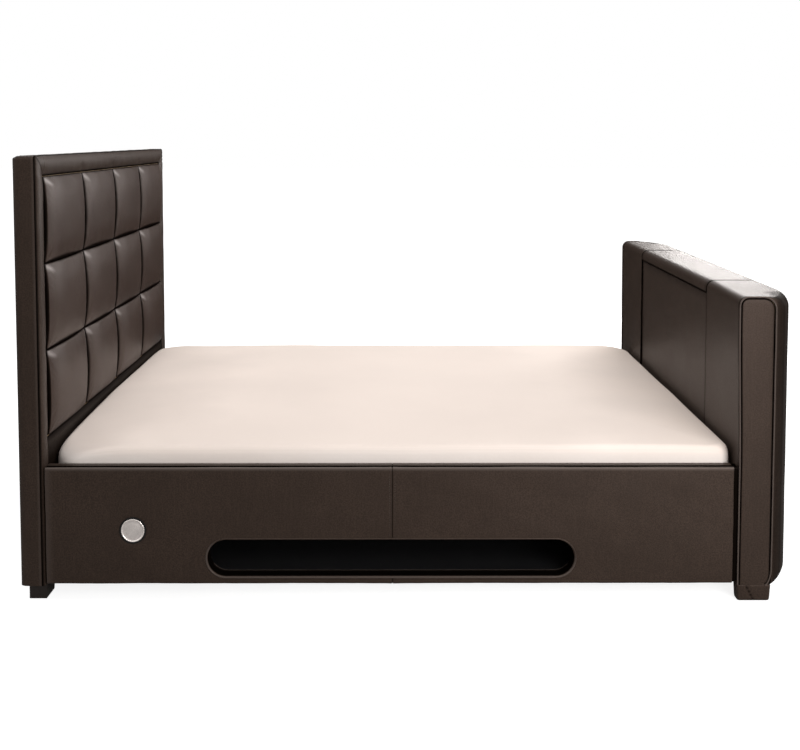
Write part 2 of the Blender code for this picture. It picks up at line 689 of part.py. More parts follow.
# distance share from the roll to the middle, height share of the crown
MATTRESS_TOP_SHARES = ((0.12, 0.35), (0.35, 0.75), (0.70, 1))
MATTRESS_BOTTOM_Z = SLAT_CROWN_Z + CLEARANCE
MATTRESS_CENTRE_X = RAIL_START_X + MATTRESS_HEAD_GAP + MATTRESS_LENGTH / 2


def rounded_rectangle(half_length, half_width, radius, steps):
    points = []
    for quarter in range(4):
        start = math.pi / 2 * quarter
        middle = start + math.pi / 4
        centre = (math.copysign(half_length - radius, math.cos(middle)),
                  math.copysign(half_width - radius, math.sin(middle)))
        points += arc(centre, (radius, radius), start, start + math.pi / 2, steps)
    return points


def mattress_ring(inset, z):
    radius = MATTRESS_CORNER_RADIUS - min(inset, MATTRESS_ROLL)
    outline = rounded_rectangle(MATTRESS_LENGTH / 2 - inset, MATTRESS_WIDTH / 2 - inset,
                                radius, MATTRESS_CORNER_STEPS)
    return [(MATTRESS_CENTRE_X + x, y, z) for x, y in outline]


def mattress():
    side_height = MATTRESS_THICKNESS - MATTRESS_CROWN
    rings = [mattress_ring(MATTRESS_ROLL * inset, MATTRESS_BOTTOM_Z + side_height * height)
             for height, inset in MATTRESS_SIDE_SHARES]
    span = MATTRESS_WIDTH / 2 - MATTRESS_ROLL
    for distance, height in MATTRESS_TOP_SHARES:
        rings.append(mattress_ring(MATTRESS_ROLL + span * distance,
                                   MATTRESS_BOTTOM_Z + side_height + MATTRESS_CROWN * height))
    bm = bmesh.new()
    add_loft(bm, rings)
    return make_part("mattress", "ticking", bm, origin=(MATTRESS_CENTRE_X, 0, MATTRESS_BOTTOM_Z))


# Footboard outside: its section is lofted across the bed, and its outer corners sweep in
PADDING = 0.010
END_WIDTH = 0.100
CORNER_LENGTH = 0.140
CORNER_STEPS = 6
INNER_TOP_RADIUS = 0.026
OUTER_TOP_RADIUS = 0.032
TUCK_DEPTH = 0.045
TUCK_HEIGHT = 0.050
TUCK_LIP = 0.002
END_TUCK_DEPTH = 0.018
ARC_STEPS = 4
LID_LENGTH = 0.8856
LID_LIP_HEIGHT = 0.042
LID_SHADOW_GAP = 0.002
LID_BOARD_THICKNESS = 0.024
COLUMN_BACK_GAP = 0.0237
PIPING_MARGIN = 0.004
END_PANEL_ROUND = 0.003
END_PANEL_ROUND_STEPS = 2
PANEL_THICKNESS = 0.015
OUTER_PANEL_THICKNESS = 0.012
FORMER_END_WALL = 0.012
FORMER_CORNER_WALL = 0.015
CARCASS_INSET = PADDING + CLEARANCE
CORNER_CENTRE_X = FOOT_FACE_X + END_WIDTH
CORNER_START_Y = SIDE_Y - CORNER_LENGTH
LID_HALF = LID_LENGTH / 2
LIP_Z = FOOTBOARD_TOP_Z - LID_LIP_HEIGHT
LID_BOARD_BOTTOM_Z = FOOTBOARD_TOP_Z - CARCASS_INSET - LID_BOARD_THICKNESS
PANEL_TOP_Z = LID_BOARD_BOTTOM_Z - CLEARANCE
INNER_PANEL_X = FOOT_FACE_X + CARCASS_INSET
WELL_FRONT_X = INNER_PANEL_X + PANEL_THICKNESS
WELL_BACK_X = FOOT_OUTER_X - CARCASS_INSET - OUTER_PANEL_THICKNESS
COLUMN_X = WELL_BACK_X - COLUMN_BACK_GAP
BASE_TOP_Z = FOOT_HEIGHT + TUCK_HEIGHT


def top_arcs(outer_x, inset):
    """(x, z) points over the top, from the inner face's arc to the outer face's."""
    inner_radius = INNER_TOP_RADIUS - inset
    outer_radius = OUTER_TOP_RADIUS - inset
    inner_centre = (FOOT_FACE_X + INNER_TOP_RADIUS, FOOTBOARD_TOP_Z - INNER_TOP_RADIUS)
    outer_centre = (outer_x - OUTER_TOP_RADIUS, FOOTBOARD_TOP_Z - OUTER_TOP_RADIUS)
    return (arc(inner_centre, (inner_radius, inner_radius), math.pi, math.pi / 2, ARC_STEPS)
            + arc(outer_centre, (outer_radius, outer_radius), math.pi / 2, 0, ARC_STEPS))


def tuck_arc(outer_x, depth, inset):
    """(x, z) points of the outer face's lower edge, curving in under the footboard."""
    centre = (outer_x - depth, FOOT_HEIGHT + TUCK_HEIGHT)
    return arc(centre, (depth - inset, TUCK_HEIGHT - inset), 0, -math.pi / 2, ARC_STEPS)


def section(outer_x, depth, inset, spare, floor_z):
    """Footboard section to an outer face at outer_x, inset all round and cut off at floor_z."""
    tuck = tuck_arc(outer_x, depth, inset)
    foot_x = tuck[-1][0] - TUCK_LIP - spare
    return ([(FOOT_FACE_X + inset, floor_z)] + top_arcs(outer_x, inset)
            + tuck + [(foot_x, tuck[-1][1]), (foot_x, floor_z)])


def footboard_loft(side, inset, spare, floor_z, inner_y):
    """Solid end of the footboard, from its end face to inner_y."""
    rings = []
    for step in range(CORNER_STEPS + 1):
        angle = math.pi / 2 * (1 - step / CORNER_STEPS)
        y = CORNER_START_Y + (CORNER_LENGTH - inset) * math.sin(angle)
        share = math.cos(angle)
        outer_x = CORNER_CENTRE_X + (FOOTBOARD_DEPTH - END_WIDTH) * share
        depth = END_TUCK_DEPTH + (TUCK_DEPTH - END_TUCK_DEPTH) * share
        rings.append((y, section(outer_x, depth, inset, spare, floor_z)))
    rings.append((inner_y, section(FOOT_OUTER_X, TUCK_DEPTH, inset, spare, floor_z)))
    bm = bmesh.new()
    add_loft(bm, [[(x, side * y, z) for x, z in outline] for y, outline in rings])
    return bm


def footboard_end_cover(side, label):
    """Leather over the inner face, the top and the outer corner, one end of the footboard."""
    inner_y = LID_HALF + CLEARANCE
    bm = footboard_loft(side, 0, 0, FOOT_HEIGHT, inner_y)
    cover = make_part(f"footboard_end_cover_{label}", "leather", bm,
                      origin=(FOOT_FACE_X, side * SIDE_Y, FOOT_HEIGHT))
    room = footboard_loft(side, PADDING, 0, FOOT_HEIGHT - OVERRUN, inner_y - OVERRUN)
    boolean(cover, make_cutter(f"end_cover_room_{label}", room))
    arch = bmesh.new()
    low, high = mirrored(side, SIDE_Y - PADDING - CLEARANCE, SIDE_Y + OVERRUN)
    outline = section(CORNER_CENTRE_X, END_TUCK_DEPTH, PIPING_MARGIN - CLEARANCE, 0,
                      FOOT_HEIGHT - OVERRUN)
    add_prism(arch, outline, "Y", low, high)
    boolean(cover, make_cutter(f"end_panel_room_{label}", arch))
    return cover


def footboard_end_panel(side, label):
    """Flat end of the footboard, with an arched top, set into the rim of the end cover."""
    bm = bmesh.new()
    low, high = mirrored(side, SIDE_Y - PADDING, SIDE_Y)
    outline = section(CORNER_CENTRE_X, END_TUCK_DEPTH, PIPING_MARGIN, CLEARANCE, FOOT_HEIGHT)
    add_prism(bm, outline, "Y", low, high)
    bevel_edges(bm, lambda first, second: (on_plane_y(first, second, side * SIDE_Y)
                                           and max(first.z, second.z) > BASE_TOP_Z),
                END_PANEL_ROUND, END_PANEL_ROUND_STEPS)
    return make_part(f"footboard_end_panel_{label}", "leather", bm,
                     origin=(FOOT_FACE_X, side * SIDE_Y, FOOT_HEIGHT))


def footboard_former(side, label):
    """End former: end wall, corner wall, foot block and the plank under the fixed top."""
    inner_y = LID_HALF + CLEARANCE
    bm = footboard_loft(side, CARCASS_INSET, CLEARANCE, FOOT_HEIGHT + CLEARANCE, inner_y)
    former = make_part(f"footboard_former_{label}", "plywood", bm,
                       origin=(FOOT_FACE_X, side * SIDE_Y, FOOT_HEIGHT))
    far_x = FOOT_OUTER_X + OVERRUN
    below = FOOT_HEIGHT - OVERRUN
    rooms = {
        "middle": ((FOOT_FACE_X, inner_y - OVERRUN, below),
                   (far_x, CORNER_START_Y + CLEARANCE, PANEL_TOP_Z + CLEARANCE)),
        "inner_panel": ((FOOT_FACE_X, inner_y - OVERRUN, below),
                        (WELL_FRONT_X + CLEARANCE, SIDE_Y, PANEL_TOP_Z + CLEARANCE)),
        "hollow": ((FOOT_FACE_X, CORNER_START_Y - OVERRUN, BASE_TOP_Z),
                   (CORNER_CENTRE_X - FORMER_CORNER_WALL,
                    SIDE_Y - CARCASS_INSET - FORMER_END_WALL, PANEL_TOP_Z + CLEARANCE)),
    }
    for room, (low, high) in rooms.items():
        cutter = bmesh.new()
        low_y, high_y = mirrored(side, low[1], high[1])
        add_box(cutter, (low[0], low_y, low[2]), (high[0], high_y, high[2]))
        boolean(former, make_cutter(f"former_{room}_{label}", cutter))
    return former


def footboard_base():
    """Timber along the bottom, between the two end formers."""
    tuck = tuck_arc(FOOT_OUTER_X, TUCK_DEPTH, CARCASS_INSET)
    foot_x = tuck[-1][0] - TUCK_LIP - CLEARANCE
    low_z = FOOT_HEIGHT + CLEARANCE
    front_x = WELL_FRONT_X + CLEARANCE
    outline = [(front_x, BASE_TOP_Z)] + tuck
    outline += [(foot_x, tuck[-1][1]), (foot_x, low_z), (front_x, low_z)]
    bm = bmesh.new()
    add_prism(bm, outline, "Y", -CORNER_START_Y, CORNER_START_Y)
    return make_part("footboard_base", "softwood", bm, origin=(front_x, 0, low_z))


def footboard_panels():
    reach = SIDE_Y - CARCASS_INSET
    inner = box_part("footboard_inner_panel", "plywood",
                     (INNER_PANEL_X, -reach, FOOT_HEIGHT + CLEARANCE),
                     (WELL_FRONT_X, reach, PANEL_TOP_Z))
    box_part("footboard_outer_panel", "plywood",
             (WELL_BACK_X, -CORNER_START_Y, BASE_TOP_Z + CLEARANCE),
             (WELL_BACK_X + OUTER_PANEL_THICKNESS, CORNER_START_Y, PANEL_TOP_Z))
    return inner


def footboard_centre_covers():
    """Leather between the end covers: the inner face, and the outer face with its tuck."""
    reach = LID_HALF - CLEARANCE
    top_z = LIP_Z - LID_SHADOW_GAP
    box_part("footboard_inner_cover", "leather",
             (FOOT_FACE_X, -reach, FOOT_HEIGHT), (FOOT_FACE_X + PADDING, reach, top_z))
    outline = []
    for inset in (0, PADDING):
        tuck = tuck_arc(FOOT_OUTER_X, TUCK_DEPTH, inset)
        side = [(FOOT_OUTER_X - inset, top_z)] + tuck + [(tuck[-1][0] - TUCK_LIP, tuck[-1][1])]
        outline += side[::-1] if inset else side
    bm = bmesh.new()
    add_prism(bm, outline, "Y", -reach, reach)
    make_part("footboard_outer_cover", "leather", bm, origin=(FOOT_OUTER_X, 0, FOOT_HEIGHT))


def lid():
    """Lid over the lift: a board under a leather cover, whose lips hang over both faces."""
    room_low = LIP_Z - OVERRUN
    outline = [(FOOT_FACE_X, LIP_Z)] + top_arcs(FOOT_OUTER_X, 0) + [(FOOT_OUTER_X, LIP_Z)]
    bm = bmesh.new()
    add_prism(bm, outline, "Y", -LID_HALF, LID_HALF)
    cover = make_part("lid_cover", "leather", bm, origin=(COLUMN_X, 0, LIP_Z))
    low_x = FOOT_FACE_X + PADDING
    high_x = FOOT_OUTER_X - PADDING
    panels = bmesh.new()
    add_box(panels, (low_x, -LID_HALF - OVERRUN, room_low),
            (high_x, LID_HALF + OVERRUN, LID_BOARD_BOTTOM_Z))
    boolean(cover, make_cutter("lid_panel_room", panels))
    board_room = bmesh.new()
    reach = LID_HALF - PADDING
    outline = [(low_x, room_low)] + top_arcs(FOOT_OUTER_X, PADDING) + [(high_x, room_low)]
    add_prism(board_room, outline, "Y", -reach, reach)
    boolean(cover, make_cutter("lid_board_room", board_room))
    board = bmesh.new()
    outline = ([(low_x + CLEARANCE, LID_BOARD_BOTTOM_Z)] + top_arcs(FOOT_OUTER_X, CARCASS_INSET)
               + [(high_x - CLEARANCE, LID_BOARD_BOTTOM_Z)])
    add_prism(board, outline, "Y", CLEARANCE - reach, reach - CLEARANCE)
    make_part("lid_board", "plywood", board, origin=(COLUMN_X, 0, LID_BOARD_BOTTOM_Z))


# Feet: tapered blocks under the headboard, leather blocks under the footboard
HEAD_FOOT_OFFSET = 0.017
HEAD_FOOT_BASE = 0.051
HEAD_FOOT_TOP = 0.054
HEAD_FOOT_WIDTH = 0.070
HEAD_FOOT_INSET = 0.028
END_FOOT_LENGTH = 0.096
END_FOOT_WIDTH = 0.040
END_FOOT_TAPER = 0.0025
END_FOOT_INSET = 0.004


def headboard_foot(side, label):
    start = HEAD_BACK_X + HEAD_FOOT_OFFSET
    outline = [(start, 0), (start + HEAD_FOOT_BASE, 0),
               (start + HEAD_FOOT_TOP, FOOT_HEIGHT - CLEARANCE),
               (start, FOOT_HEIGHT - CLEARANCE)]
    outer = SIDE_Y - HEAD_FOOT_INSET
    bm = bmesh.new()
    add_prism(bm, outline, "Y", *mirrored(side, outer - HEAD_FOOT_WIDTH, outer))
    return make_part(f"headboard_foot_{label}", "black_plastic", bm,
                     origin=(start, side * outer, 0))


def footboard_foot(side, label):
    outer = SIDE_Y - END_FOOT_INSET
    rings = []
    for z, taper in ((0, END_FOOT_TAPER), (FOOT_HEIGHT - CLEARANCE, 0)):
        low_y, high_y = mirrored(side, outer - END_FOOT_WIDTH + taper, outer - taper)
        outline = rectangle((FOOT_FACE_X + taper, low_y),
                            (FOOT_FACE_X + END_FOOT_LENGTH - taper, high_y))
        rings.append([along_axis("Z", z, point) for point in outline])
    bm = bmesh.new()
    add_loft(bm, rings)
    return make_part(f"footboard_foot_{label}", "leather", bm,
                     origin=(FOOT_FACE_X, side * outer, 0))


# Television lift: a telescopic column with a linear actuator beside it
PLATE_THICKNESS = 0.006
PLATE_WIDTH = 0.160
PLATE_FRONT_REACH = 0.058
WELL_MARGIN = 0.002
TUBE_WALL = 0.0025
OUTER_TUBE = (0.040, 0.090)
MIDDLE_TUBE = (0.031, 0.081)
TOP_TUBE = (0.022, 0.072)
OUTER_TUBE_LENGTH = 0.3734
MIDDLE_TUBE_RISE = 0.0256
TOP_TUBE_LENGTH = 0.4934
COLLAR_HEIGHT = 0.012
COLLAR_WALL = 0.002
COLLAR_EAR = 0.105
PLATE_TOP_Z = BASE_TOP_Z + CLEARANCE + PLATE_THICKNESS
TUBE_BOTTOM_Z = PLATE_TOP_Z + CLEARANCE
OUTER_TUBE_TOP_Z = TUBE_BOTTOM_Z + OUTER_TUBE_LENGTH
LOWER_COLLAR_Z = OUTER_TUBE_TOP_Z + CLEARANCE
MIDDLE_TUBE_TOP_Z = LOWER_COLLAR_Z + COLLAR_HEIGHT + MIDDLE_TUBE_RISE
UPPER_COLLAR_Z = MIDDLE_TUBE_TOP_Z + CLEARANCE
TOP_TUBE_TOP_Z = TUBE_BOTTOM_Z + TOP_TUBE_LENGTH
COLLAR_FRONT_X = COLUMN_X - OUTER_TUBE[0] / 2 - COLLAR_WALL
COLLAR_REACH_Y = OUTER_TUBE[1] / 2 + COLLAR_WALL


def column_outline(size, spare):
    """Rectangle round the axis of the column, widened by a spare amount on each side."""
    half_x = size[0] / 2 + spare
    half_y = size[1] / 2 + spare
    return rectangle((COLUMN_X - half_x, -half_y), (COLUMN_X + half_x, half_y))


def column(name, finish, size, top_z):
    bm = bmesh.new()
    add_tube(bm, column_outline(size, 0), column_outline(size, -TUBE_WALL), "Z",
             TUBE_BOTTOM_Z, top_z)
    return make_part(name, finish, bm, origin=(COLUMN_X, 0, TUBE_BOTTOM_Z))


def collar(name, tube, low_z, back_x, far_y):
    """Guide plate that fits closely round the tube that slides in it."""
    bm = bmesh.new()
    outer = rectangle((COLLAR_FRONT_X, -COLLAR_REACH_Y), (back_x, far_y))
    add_tube(bm, outer, column_outline(tube, CLEARANCE), "Z", low_z, low_z + COLLAR_HEIGHT)
    return make_part(name, "black_plastic", bm, origin=(COLUMN_X, 0, low_z))


def lift_column():
    box_part("lift_base", "black_steel",
             (COLUMN_X - PLATE_FRONT_REACH, -PLATE_WIDTH / 2, BASE_TOP_Z + CLEARANCE),
             (WELL_BACK_X - WELL_MARGIN, PLATE_WIDTH / 2, PLATE_TOP_Z))
    column("lift_outer_column", "black_steel", OUTER_TUBE, OUTER_TUBE_TOP_Z)
    column("lift_middle_column", "zinc_steel", MIDDLE_TUBE, MIDDLE_TUBE_TOP_Z)
    column("lift_top_column", "aluminium", TOP_TUBE, TOP_TUBE_TOP_Z)
    collar("lift_lower_collar", MIDDLE_TUBE, LOWER_COLLAR_Z,
           WELL_BACK_X - CLEARANCE, COLLAR_REACH_Y)
    collar("lift_upper_collar", TOP_TUBE, UPPER_COLLAR_Z,
           WELL_BACK_X - WELL_MARGIN, COLLAR_EAR)


# Linear actuator: a gearbox that carries a motor and the tube in which the rod slides
GEARBOX_START = 0.060
GEARBOX_END = 0.162
GEARBOX_DEPTH = 0.0445
GEARBOX_HEIGHT = 0.0254
BODY_OVERLAP = 0.008
ROD_Y = 0.085
ROD_RADIUS = 0.008
ROD_FOOT = 0.004
GUIDE_RADIUS = 0.018
MOTOR_Y = 0.135
MOTOR_RADIUS = 0.022
MOTOR_HEIGHT = 0.108
ACTUATOR_SIDES = 16
ACTUATOR_X = WELL_BACK_X - WELL_MARGIN - GEARBOX_DEPTH / 2
GEARBOX_TOP_Z = TUBE_BOTTOM_Z + GEARBOX_HEIGHT
MOTOR_TOP_Z = GEARBOX_TOP_Z + MOTOR_HEIGHT
GUIDE_TOP_Z = LOWER_COLLAR_Z + COLLAR_HEIGHT
ROD_BOTTOM_Z = GEARBOX_TOP_Z - ROD_FOOT


def cylinder_cutter(name, centre, radius, low_z, high_z):
    bm = bmesh.new()
    add_turned(bm, "Z", centre, [(low_z, radius), (high_z, radius)], ACTUATOR_SIDES)
    return make_cutter(name, bm)


def actuator():
    bm = bmesh.new()
    add_box(bm, (ACTUATOR_X - GEARBOX_DEPTH / 2, GEARBOX_START, TUBE_BOTTOM_Z),
            (ACTUATOR_X + GEARBOX_DEPTH / 2, GEARBOX_END, GEARBOX_TOP_Z))
    body = make_part("actuator_body", "black_plastic", bm,
                     origin=(ACTUATOR_X, ROD_Y, TUBE_BOTTOM_Z))
    rod_centre = (ACTUATOR_X, ROD_Y)
    inside_z = GEARBOX_TOP_Z - BODY_OVERLAP
    guide = cylinder_cutter("actuator_guide", rod_centre, GUIDE_RADIUS, inside_z, GUIDE_TOP_Z)
    boolean(body, guide, "UNION")
    motor = cylinder_cutter("actuator_motor", (ACTUATOR_X, MOTOR_Y), MOTOR_RADIUS,
                            inside_z, MOTOR_TOP_Z)
    boolean(body, motor, "UNION")
    bore = cylinder_cutter("actuator_bore", rod_centre, ROD_RADIUS + CLEARANCE,
                           ROD_BOTTOM_Z - CLEARANCE, GUIDE_TOP_Z + OVERRUN)
    boolean(body, bore)
    rod = bmesh.new()
    add_turned(rod, "Z", rod_centre,
               [(ROD_BOTTOM_Z, ROD_RADIUS), (MIDDLE_TUBE_TOP_Z, ROD_RADIUS)], ACTUATOR_SIDES)
    make_part("actuator_rod", "zinc_steel", rod, origin=(ACTUATOR_X, ROD_Y, ROD_BOTTOM_Z))


# What the top column carries: the television bracket and the mast under the lid
CROSSBAR_DEPTH = 0.0132
CROSSBAR_HALF = 0.240
CROSSBAR_HEIGHT = 0.050
CROSSBAR_WALL = 0.002
CROSSBAR_DROP = 0.005
ARM_SPACING = 0.200
ARM_WIDTH = 0.035
ARM_DEPTH = 0.0122
ARM_STEEL = 0.003
ARM_LENGTH = 0.400
ARM_RISE = 0.065
ARM_SLOTS = 3
ARM_SLOT_LENGTH = 0.060
ARM_SLOT_WIDTH = 0.008
ARM_SLOT_PITCH = 0.130
ARM_SLOT_STEPS = 3
MAST_SIZE = (0.020, 0.060)
MAST_FLANGE = (0.044, 0.200)
MAST_FLANGE_THICKNESS = 0.004
CROSSBAR_BACK_X = COLUMN_X - TOP_TUBE[0] / 2 - CLEARANCE
CROSSBAR_TOP_Z = TOP_TUBE_TOP_Z - CROSSBAR_DROP
ARM_BACK_X = CROSSBAR_BACK_X - CROSSBAR_DEPTH - CLEARANCE
ARM_FRONT_X = ARM_BACK_X - ARM_DEPTH
ARM_HIGH_Z = CROSSBAR_TOP_Z + ARM_RISE
ARM_LOW_Z = ARM_HIGH_Z - ARM_LENGTH


def crossbar():
    low = (CROSSBAR_BACK_X - CROSSBAR_DEPTH, CROSSBAR_TOP_Z - CROSSBAR_HEIGHT)
    high = (CROSSBAR_BACK_X, CROSSBAR_TOP_Z)
    inner = rectangle((low[0] + CROSSBAR_WALL, low[1] + CROSSBAR_WALL),
                      (high[0] - CROSSBAR_WALL, high[1] - CROSSBAR_WALL))
    bm = bmesh.new()
    add_tube(bm, rectangle(low, high), inner, "Y", -CROSSBAR_HALF, CROSSBAR_HALF)
    return make_part("tv_crossbar", "black_steel", bm, origin=(COLUMN_X, 0, low[1]))


def arm_outline(centre_y):
    """Channel section with its web in front."""
    half = ARM_WIDTH / 2
    inside_x = ARM_FRONT_X + ARM_STEEL
    right = [(ARM_FRONT_X, half), (ARM_BACK_X, half), (ARM_BACK_X, half - ARM_STEEL),
             (inside_x, half - ARM_STEEL)]
    left = [(x, -y) for x, y in reversed(right)]
    return [(x, centre_y + y) for x, y in right + left]


def tv_arm(side, label):
    """Upright channel with slots for the screws of the television."""
    centre_y = side * ARM_SPACING / 2
    bm = bmesh.new()
    add_prism(bm, arm_outline(centre_y), "Z", ARM_LOW_Z, ARM_HIGH_Z)
    arm = make_part(f"tv_arm_{label}", "black_steel", bm, origin=(COLUMN_X, 0, ARM_LOW_Z))
    middle_z = (ARM_LOW_Z + ARM_HIGH_Z) / 2
    slots = bmesh.new()
    for number in range(ARM_SLOTS):
        centre_z = middle_z + ARM_SLOT_PITCH * (number - (ARM_SLOTS - 1) / 2)
        upright = stadium((centre_z, centre_y), ARM_SLOT_LENGTH, ARM_SLOT_WIDTH, ARM_SLOT_STEPS)
        add_prism(slots, [(y, z) for z, y in upright], "X",
                  ARM_FRONT_X - OVERRUN, ARM_FRONT_X + ARM_STEEL + OVERRUN)
    boolean(arm, make_cutter(f"arm_slots_{label}", slots))
    return arm


def lid_mast():
    """Post on the top column, with a flange that carries the lid board."""
    low_z = TOP_TUBE_TOP_Z + CLEARANCE
    half_x = MAST_FLANGE[0] / 2
    half_y = MAST_FLANGE[1] / 2
    bm = bmesh.new()
    add_box(bm, (COLUMN_X - half_x, -half_y, PANEL_TOP_Z - MAST_FLANGE_THICKNESS),
            (COLUMN_X + half_x, half_y, PANEL_TOP_Z))
    mast = make_part("lid_mast", "black_steel", bm, origin=(COLUMN_X, 0, low_z))
    post = bmesh.new()
    add_prism(post, column_outline(MAST_SIZE, 0), "Z",
              low_z, PANEL_TOP_Z - MAST_FLANGE_THICKNESS / 2)
    boolean(mast, make_cutter("mast_post", post), "UNION")
    return mast


# Control box on the base timber, beside the lift
CONTROL_BOX_SIZE = (0.070, 0.160, 0.040)
CONTROL_BOX_BACK_GAP = 0.020
CONTROL_BOX_INSET = 0.260
CONTROL_BOX_ROUND = 0.004
CONTROL_BOX_ROUND_STEPS = 2
CONTROL_BOX_Y = CONTROL_BOX_INSET - SIDE_Y


def control_box():
    low_x = WELL_BACK_X - CONTROL_BOX_BACK_GAP - CONTROL_BOX_SIZE[0]
    low_z = BASE_TOP_Z + CLEARANCE
    half_y = CONTROL_BOX_SIZE[1] / 2
    bm = bmesh.new()
    add_box(bm, (low_x, CONTROL_BOX_Y - half_y, low_z),
            (low_x + CONTROL_BOX_SIZE[0], CONTROL_BOX_Y + half_y, low_z + CONTROL_BOX_SIZE[2]))
    bevel_edges(bm, lambda first, second: max(first.z, second.z) > low_z + CLEARANCE,
                CONTROL_BOX_ROUND, CONTROL_BOX_ROUND_STEPS)
    return make_part("control_box", "black_plastic", bm, origin=(low_x, CONTROL_BOX_Y, low_z))


# Bed bolts: from the headboard and the footboard into barrel nuts in the rail boards
BOLT_RADIUS = 0.004
BOLT_HEAD_RADIUS = 0.008
BOLT_HEAD_THICKNESS = 0.005
BOLT_SIDES = 8
BOLT_DEPTH = 0.060
BOLT_RISE = 0.110
BOLT_INSET = 0.032
NUT_RADIUS = 0.007
NUT_LENGTH = 0.027
NUT_RECESS = 0.0005
NUT_SETBACK = 0.042
NUT_SIDES = 12
ACCESS_RADIUS = 0.009


def corners():
    """(name, seat x, direction of travel, x of the board's end, side) of each bolt."""
    ends = (("head", FRAME_BACK_X, 1, RAIL_START_X + CLEARANCE),
            ("foot", WELL_FRONT_X, -1, BOARD_END_X))
    return [(f"{end}_{label}", seat_x, direction, end_x, side)
            for end, seat_x, direction, end_x in ends for side, label in SIDES]


def bed_bolt(corner, holes, access):
    name, seat_x, direction, end_x, side = corner
    centre = (side * (SIDE_Y - BOLT_INSET), RAIL_BOTTOM_Z + BOLT_RISE)
    head_x = seat_x - direction * CLEARANCE
    tip_x = end_x + direction * BOLT_DEPTH
    bm = bmesh.new()
    add_turned(bm, "X", centre,
               [(head_x - direction * BOLT_HEAD_THICKNESS, BOLT_HEAD_RADIUS),
                (head_x, BOLT_HEAD_RADIUS), (head_x, BOLT_RADIUS), (tip_x, BOLT_RADIUS)],
               BOLT_SIDES)
    make_part(f"bed_bolt_{name}", "zinc_steel", bm, origin=(head_x, *centre))
    hole_radius = BOLT_RADIUS + CLEARANCE
    add_turned(holes, "X", centre,
               [(seat_x - direction * OVERRUN, hole_radius),
                (tip_x + direction * OVERRUN, hole_radius)], BOLT_SIDES)
    if direction > 0:
        add_turned(access, "X", centre,
                   [(HEAD_BACK_X - OVERRUN, ACCESS_RADIUS),
                    (FRAME_BACK_X + OVERRUN, ACCESS_RADIUS)], NUT_SIDES)


def barrel_nut(corner, rooms):
    name, _, direction, end_x, side = corner
    centre = (end_x + direction * NUT_SETBACK, RAIL_BOTTOM_Z + BOLT_RISE)
    start = BOARD_INNER_Y + NUT_RECESS
    end = start + NUT_LENGTH
    bm = bmesh.new()
    add_turned(bm, "Y", centre, [(side * start, NUT_RADIUS), (side * end, NUT_RADIUS)], NUT_SIDES)
    add_turned(rooms, "Y", centre,
               [(side * (BOARD_INNER_Y - OVERRUN), NUT_RADIUS + CLEARANCE),
                (side * (end + CLEARANCE), NUT_RADIUS + CLEARANCE)], NUT_SIDES)
    return make_part(f"barrel_nut_{name}", "zinc_steel", bm,
                     origin=(centre[0], side * start, centre[1]))


def fit_bolts(bored, boards, band):
    """Bore the pieces that the bolts pass, and the rail boards for the barrel nuts too."""
    holes = bmesh.new()
    access = bmesh.new()
    rooms = bmesh.new()
    nuts = []
    for corner in corners():
        bed_bolt(corner, holes, access)
        nuts.append(barrel_nut(corner, rooms))
    room_cutter = make_cutter("nut_rooms", rooms)
    for board in boards:
        boolean(board, room_cutter)
    hole_cutter = make_cutter("bolt_holes", holes)
    for part in bored + boards + nuts:
        boolean(part, hole_cutter)
    boolean(band, make_cutter("bolt_access", access))


def main():
    clear_scene()
    band = headboard_band()
    border = headboard_border()
    headboard_pads()
    headboard_lower_panel()
    frame = headboard_frame()
    front_board = headboard_boards()
    boards = side_rails()
    centre_rail()
    media_shelf()
    shelf_bracket()
    mattress()
    end_covers = []
    for side, label in SIDES:
        slat_row(side, label)
        end_covers.append(footboard_end_cover(side, label))
        footboard_end_panel(side, label)
        footboard_former(side, label)
        headboard_foot(side, label)
        footboard_foot(side, label)
        tv_arm(side, label)
    centre_leg(NEAR, "head")
    centre_leg(FAR, "foot")
    footboard_base()
    inner_panel = footboard_panels()
    footboard_centre_covers()
    lid()
    lift_column()
    actuator()
    crossbar()
    lid_mast()
    control_box()
    fit_bolts([frame, front_board, border, inner_panel] + end_covers, boards, band)


main()
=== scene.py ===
"""Television bed with its leather, padding, mattress and fittings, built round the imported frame.

Lengths are in metres. X runs from the headboard to the footboard, Y across the bed, Z up.
"""
import json
import math
from functools import partial

import bmesh
import bpy
import numpy as np
from bpy.props import FloatProperty, FloatVectorProperty, PointerProperty
from bpy.types import Operator, Panel, PropertyGroup
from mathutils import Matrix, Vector


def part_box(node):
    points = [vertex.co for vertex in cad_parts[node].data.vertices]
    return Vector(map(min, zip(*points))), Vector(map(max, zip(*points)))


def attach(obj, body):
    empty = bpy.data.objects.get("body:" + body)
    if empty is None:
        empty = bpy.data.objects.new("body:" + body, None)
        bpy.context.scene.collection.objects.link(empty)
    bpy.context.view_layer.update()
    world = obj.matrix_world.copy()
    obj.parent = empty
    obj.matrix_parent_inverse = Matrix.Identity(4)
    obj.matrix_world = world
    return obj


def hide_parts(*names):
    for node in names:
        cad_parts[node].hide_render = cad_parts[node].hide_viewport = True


bl_info = {
    "name": "Television Bed",
    "version": (1, 0, 0),
    "blender": (4, 5, 0),
    "location": "View3D > Sidebar > Bed",
    "description": "Dresses the frame of a television bed in leather, padding and cloth",
    "category": "Add Mesh",
}

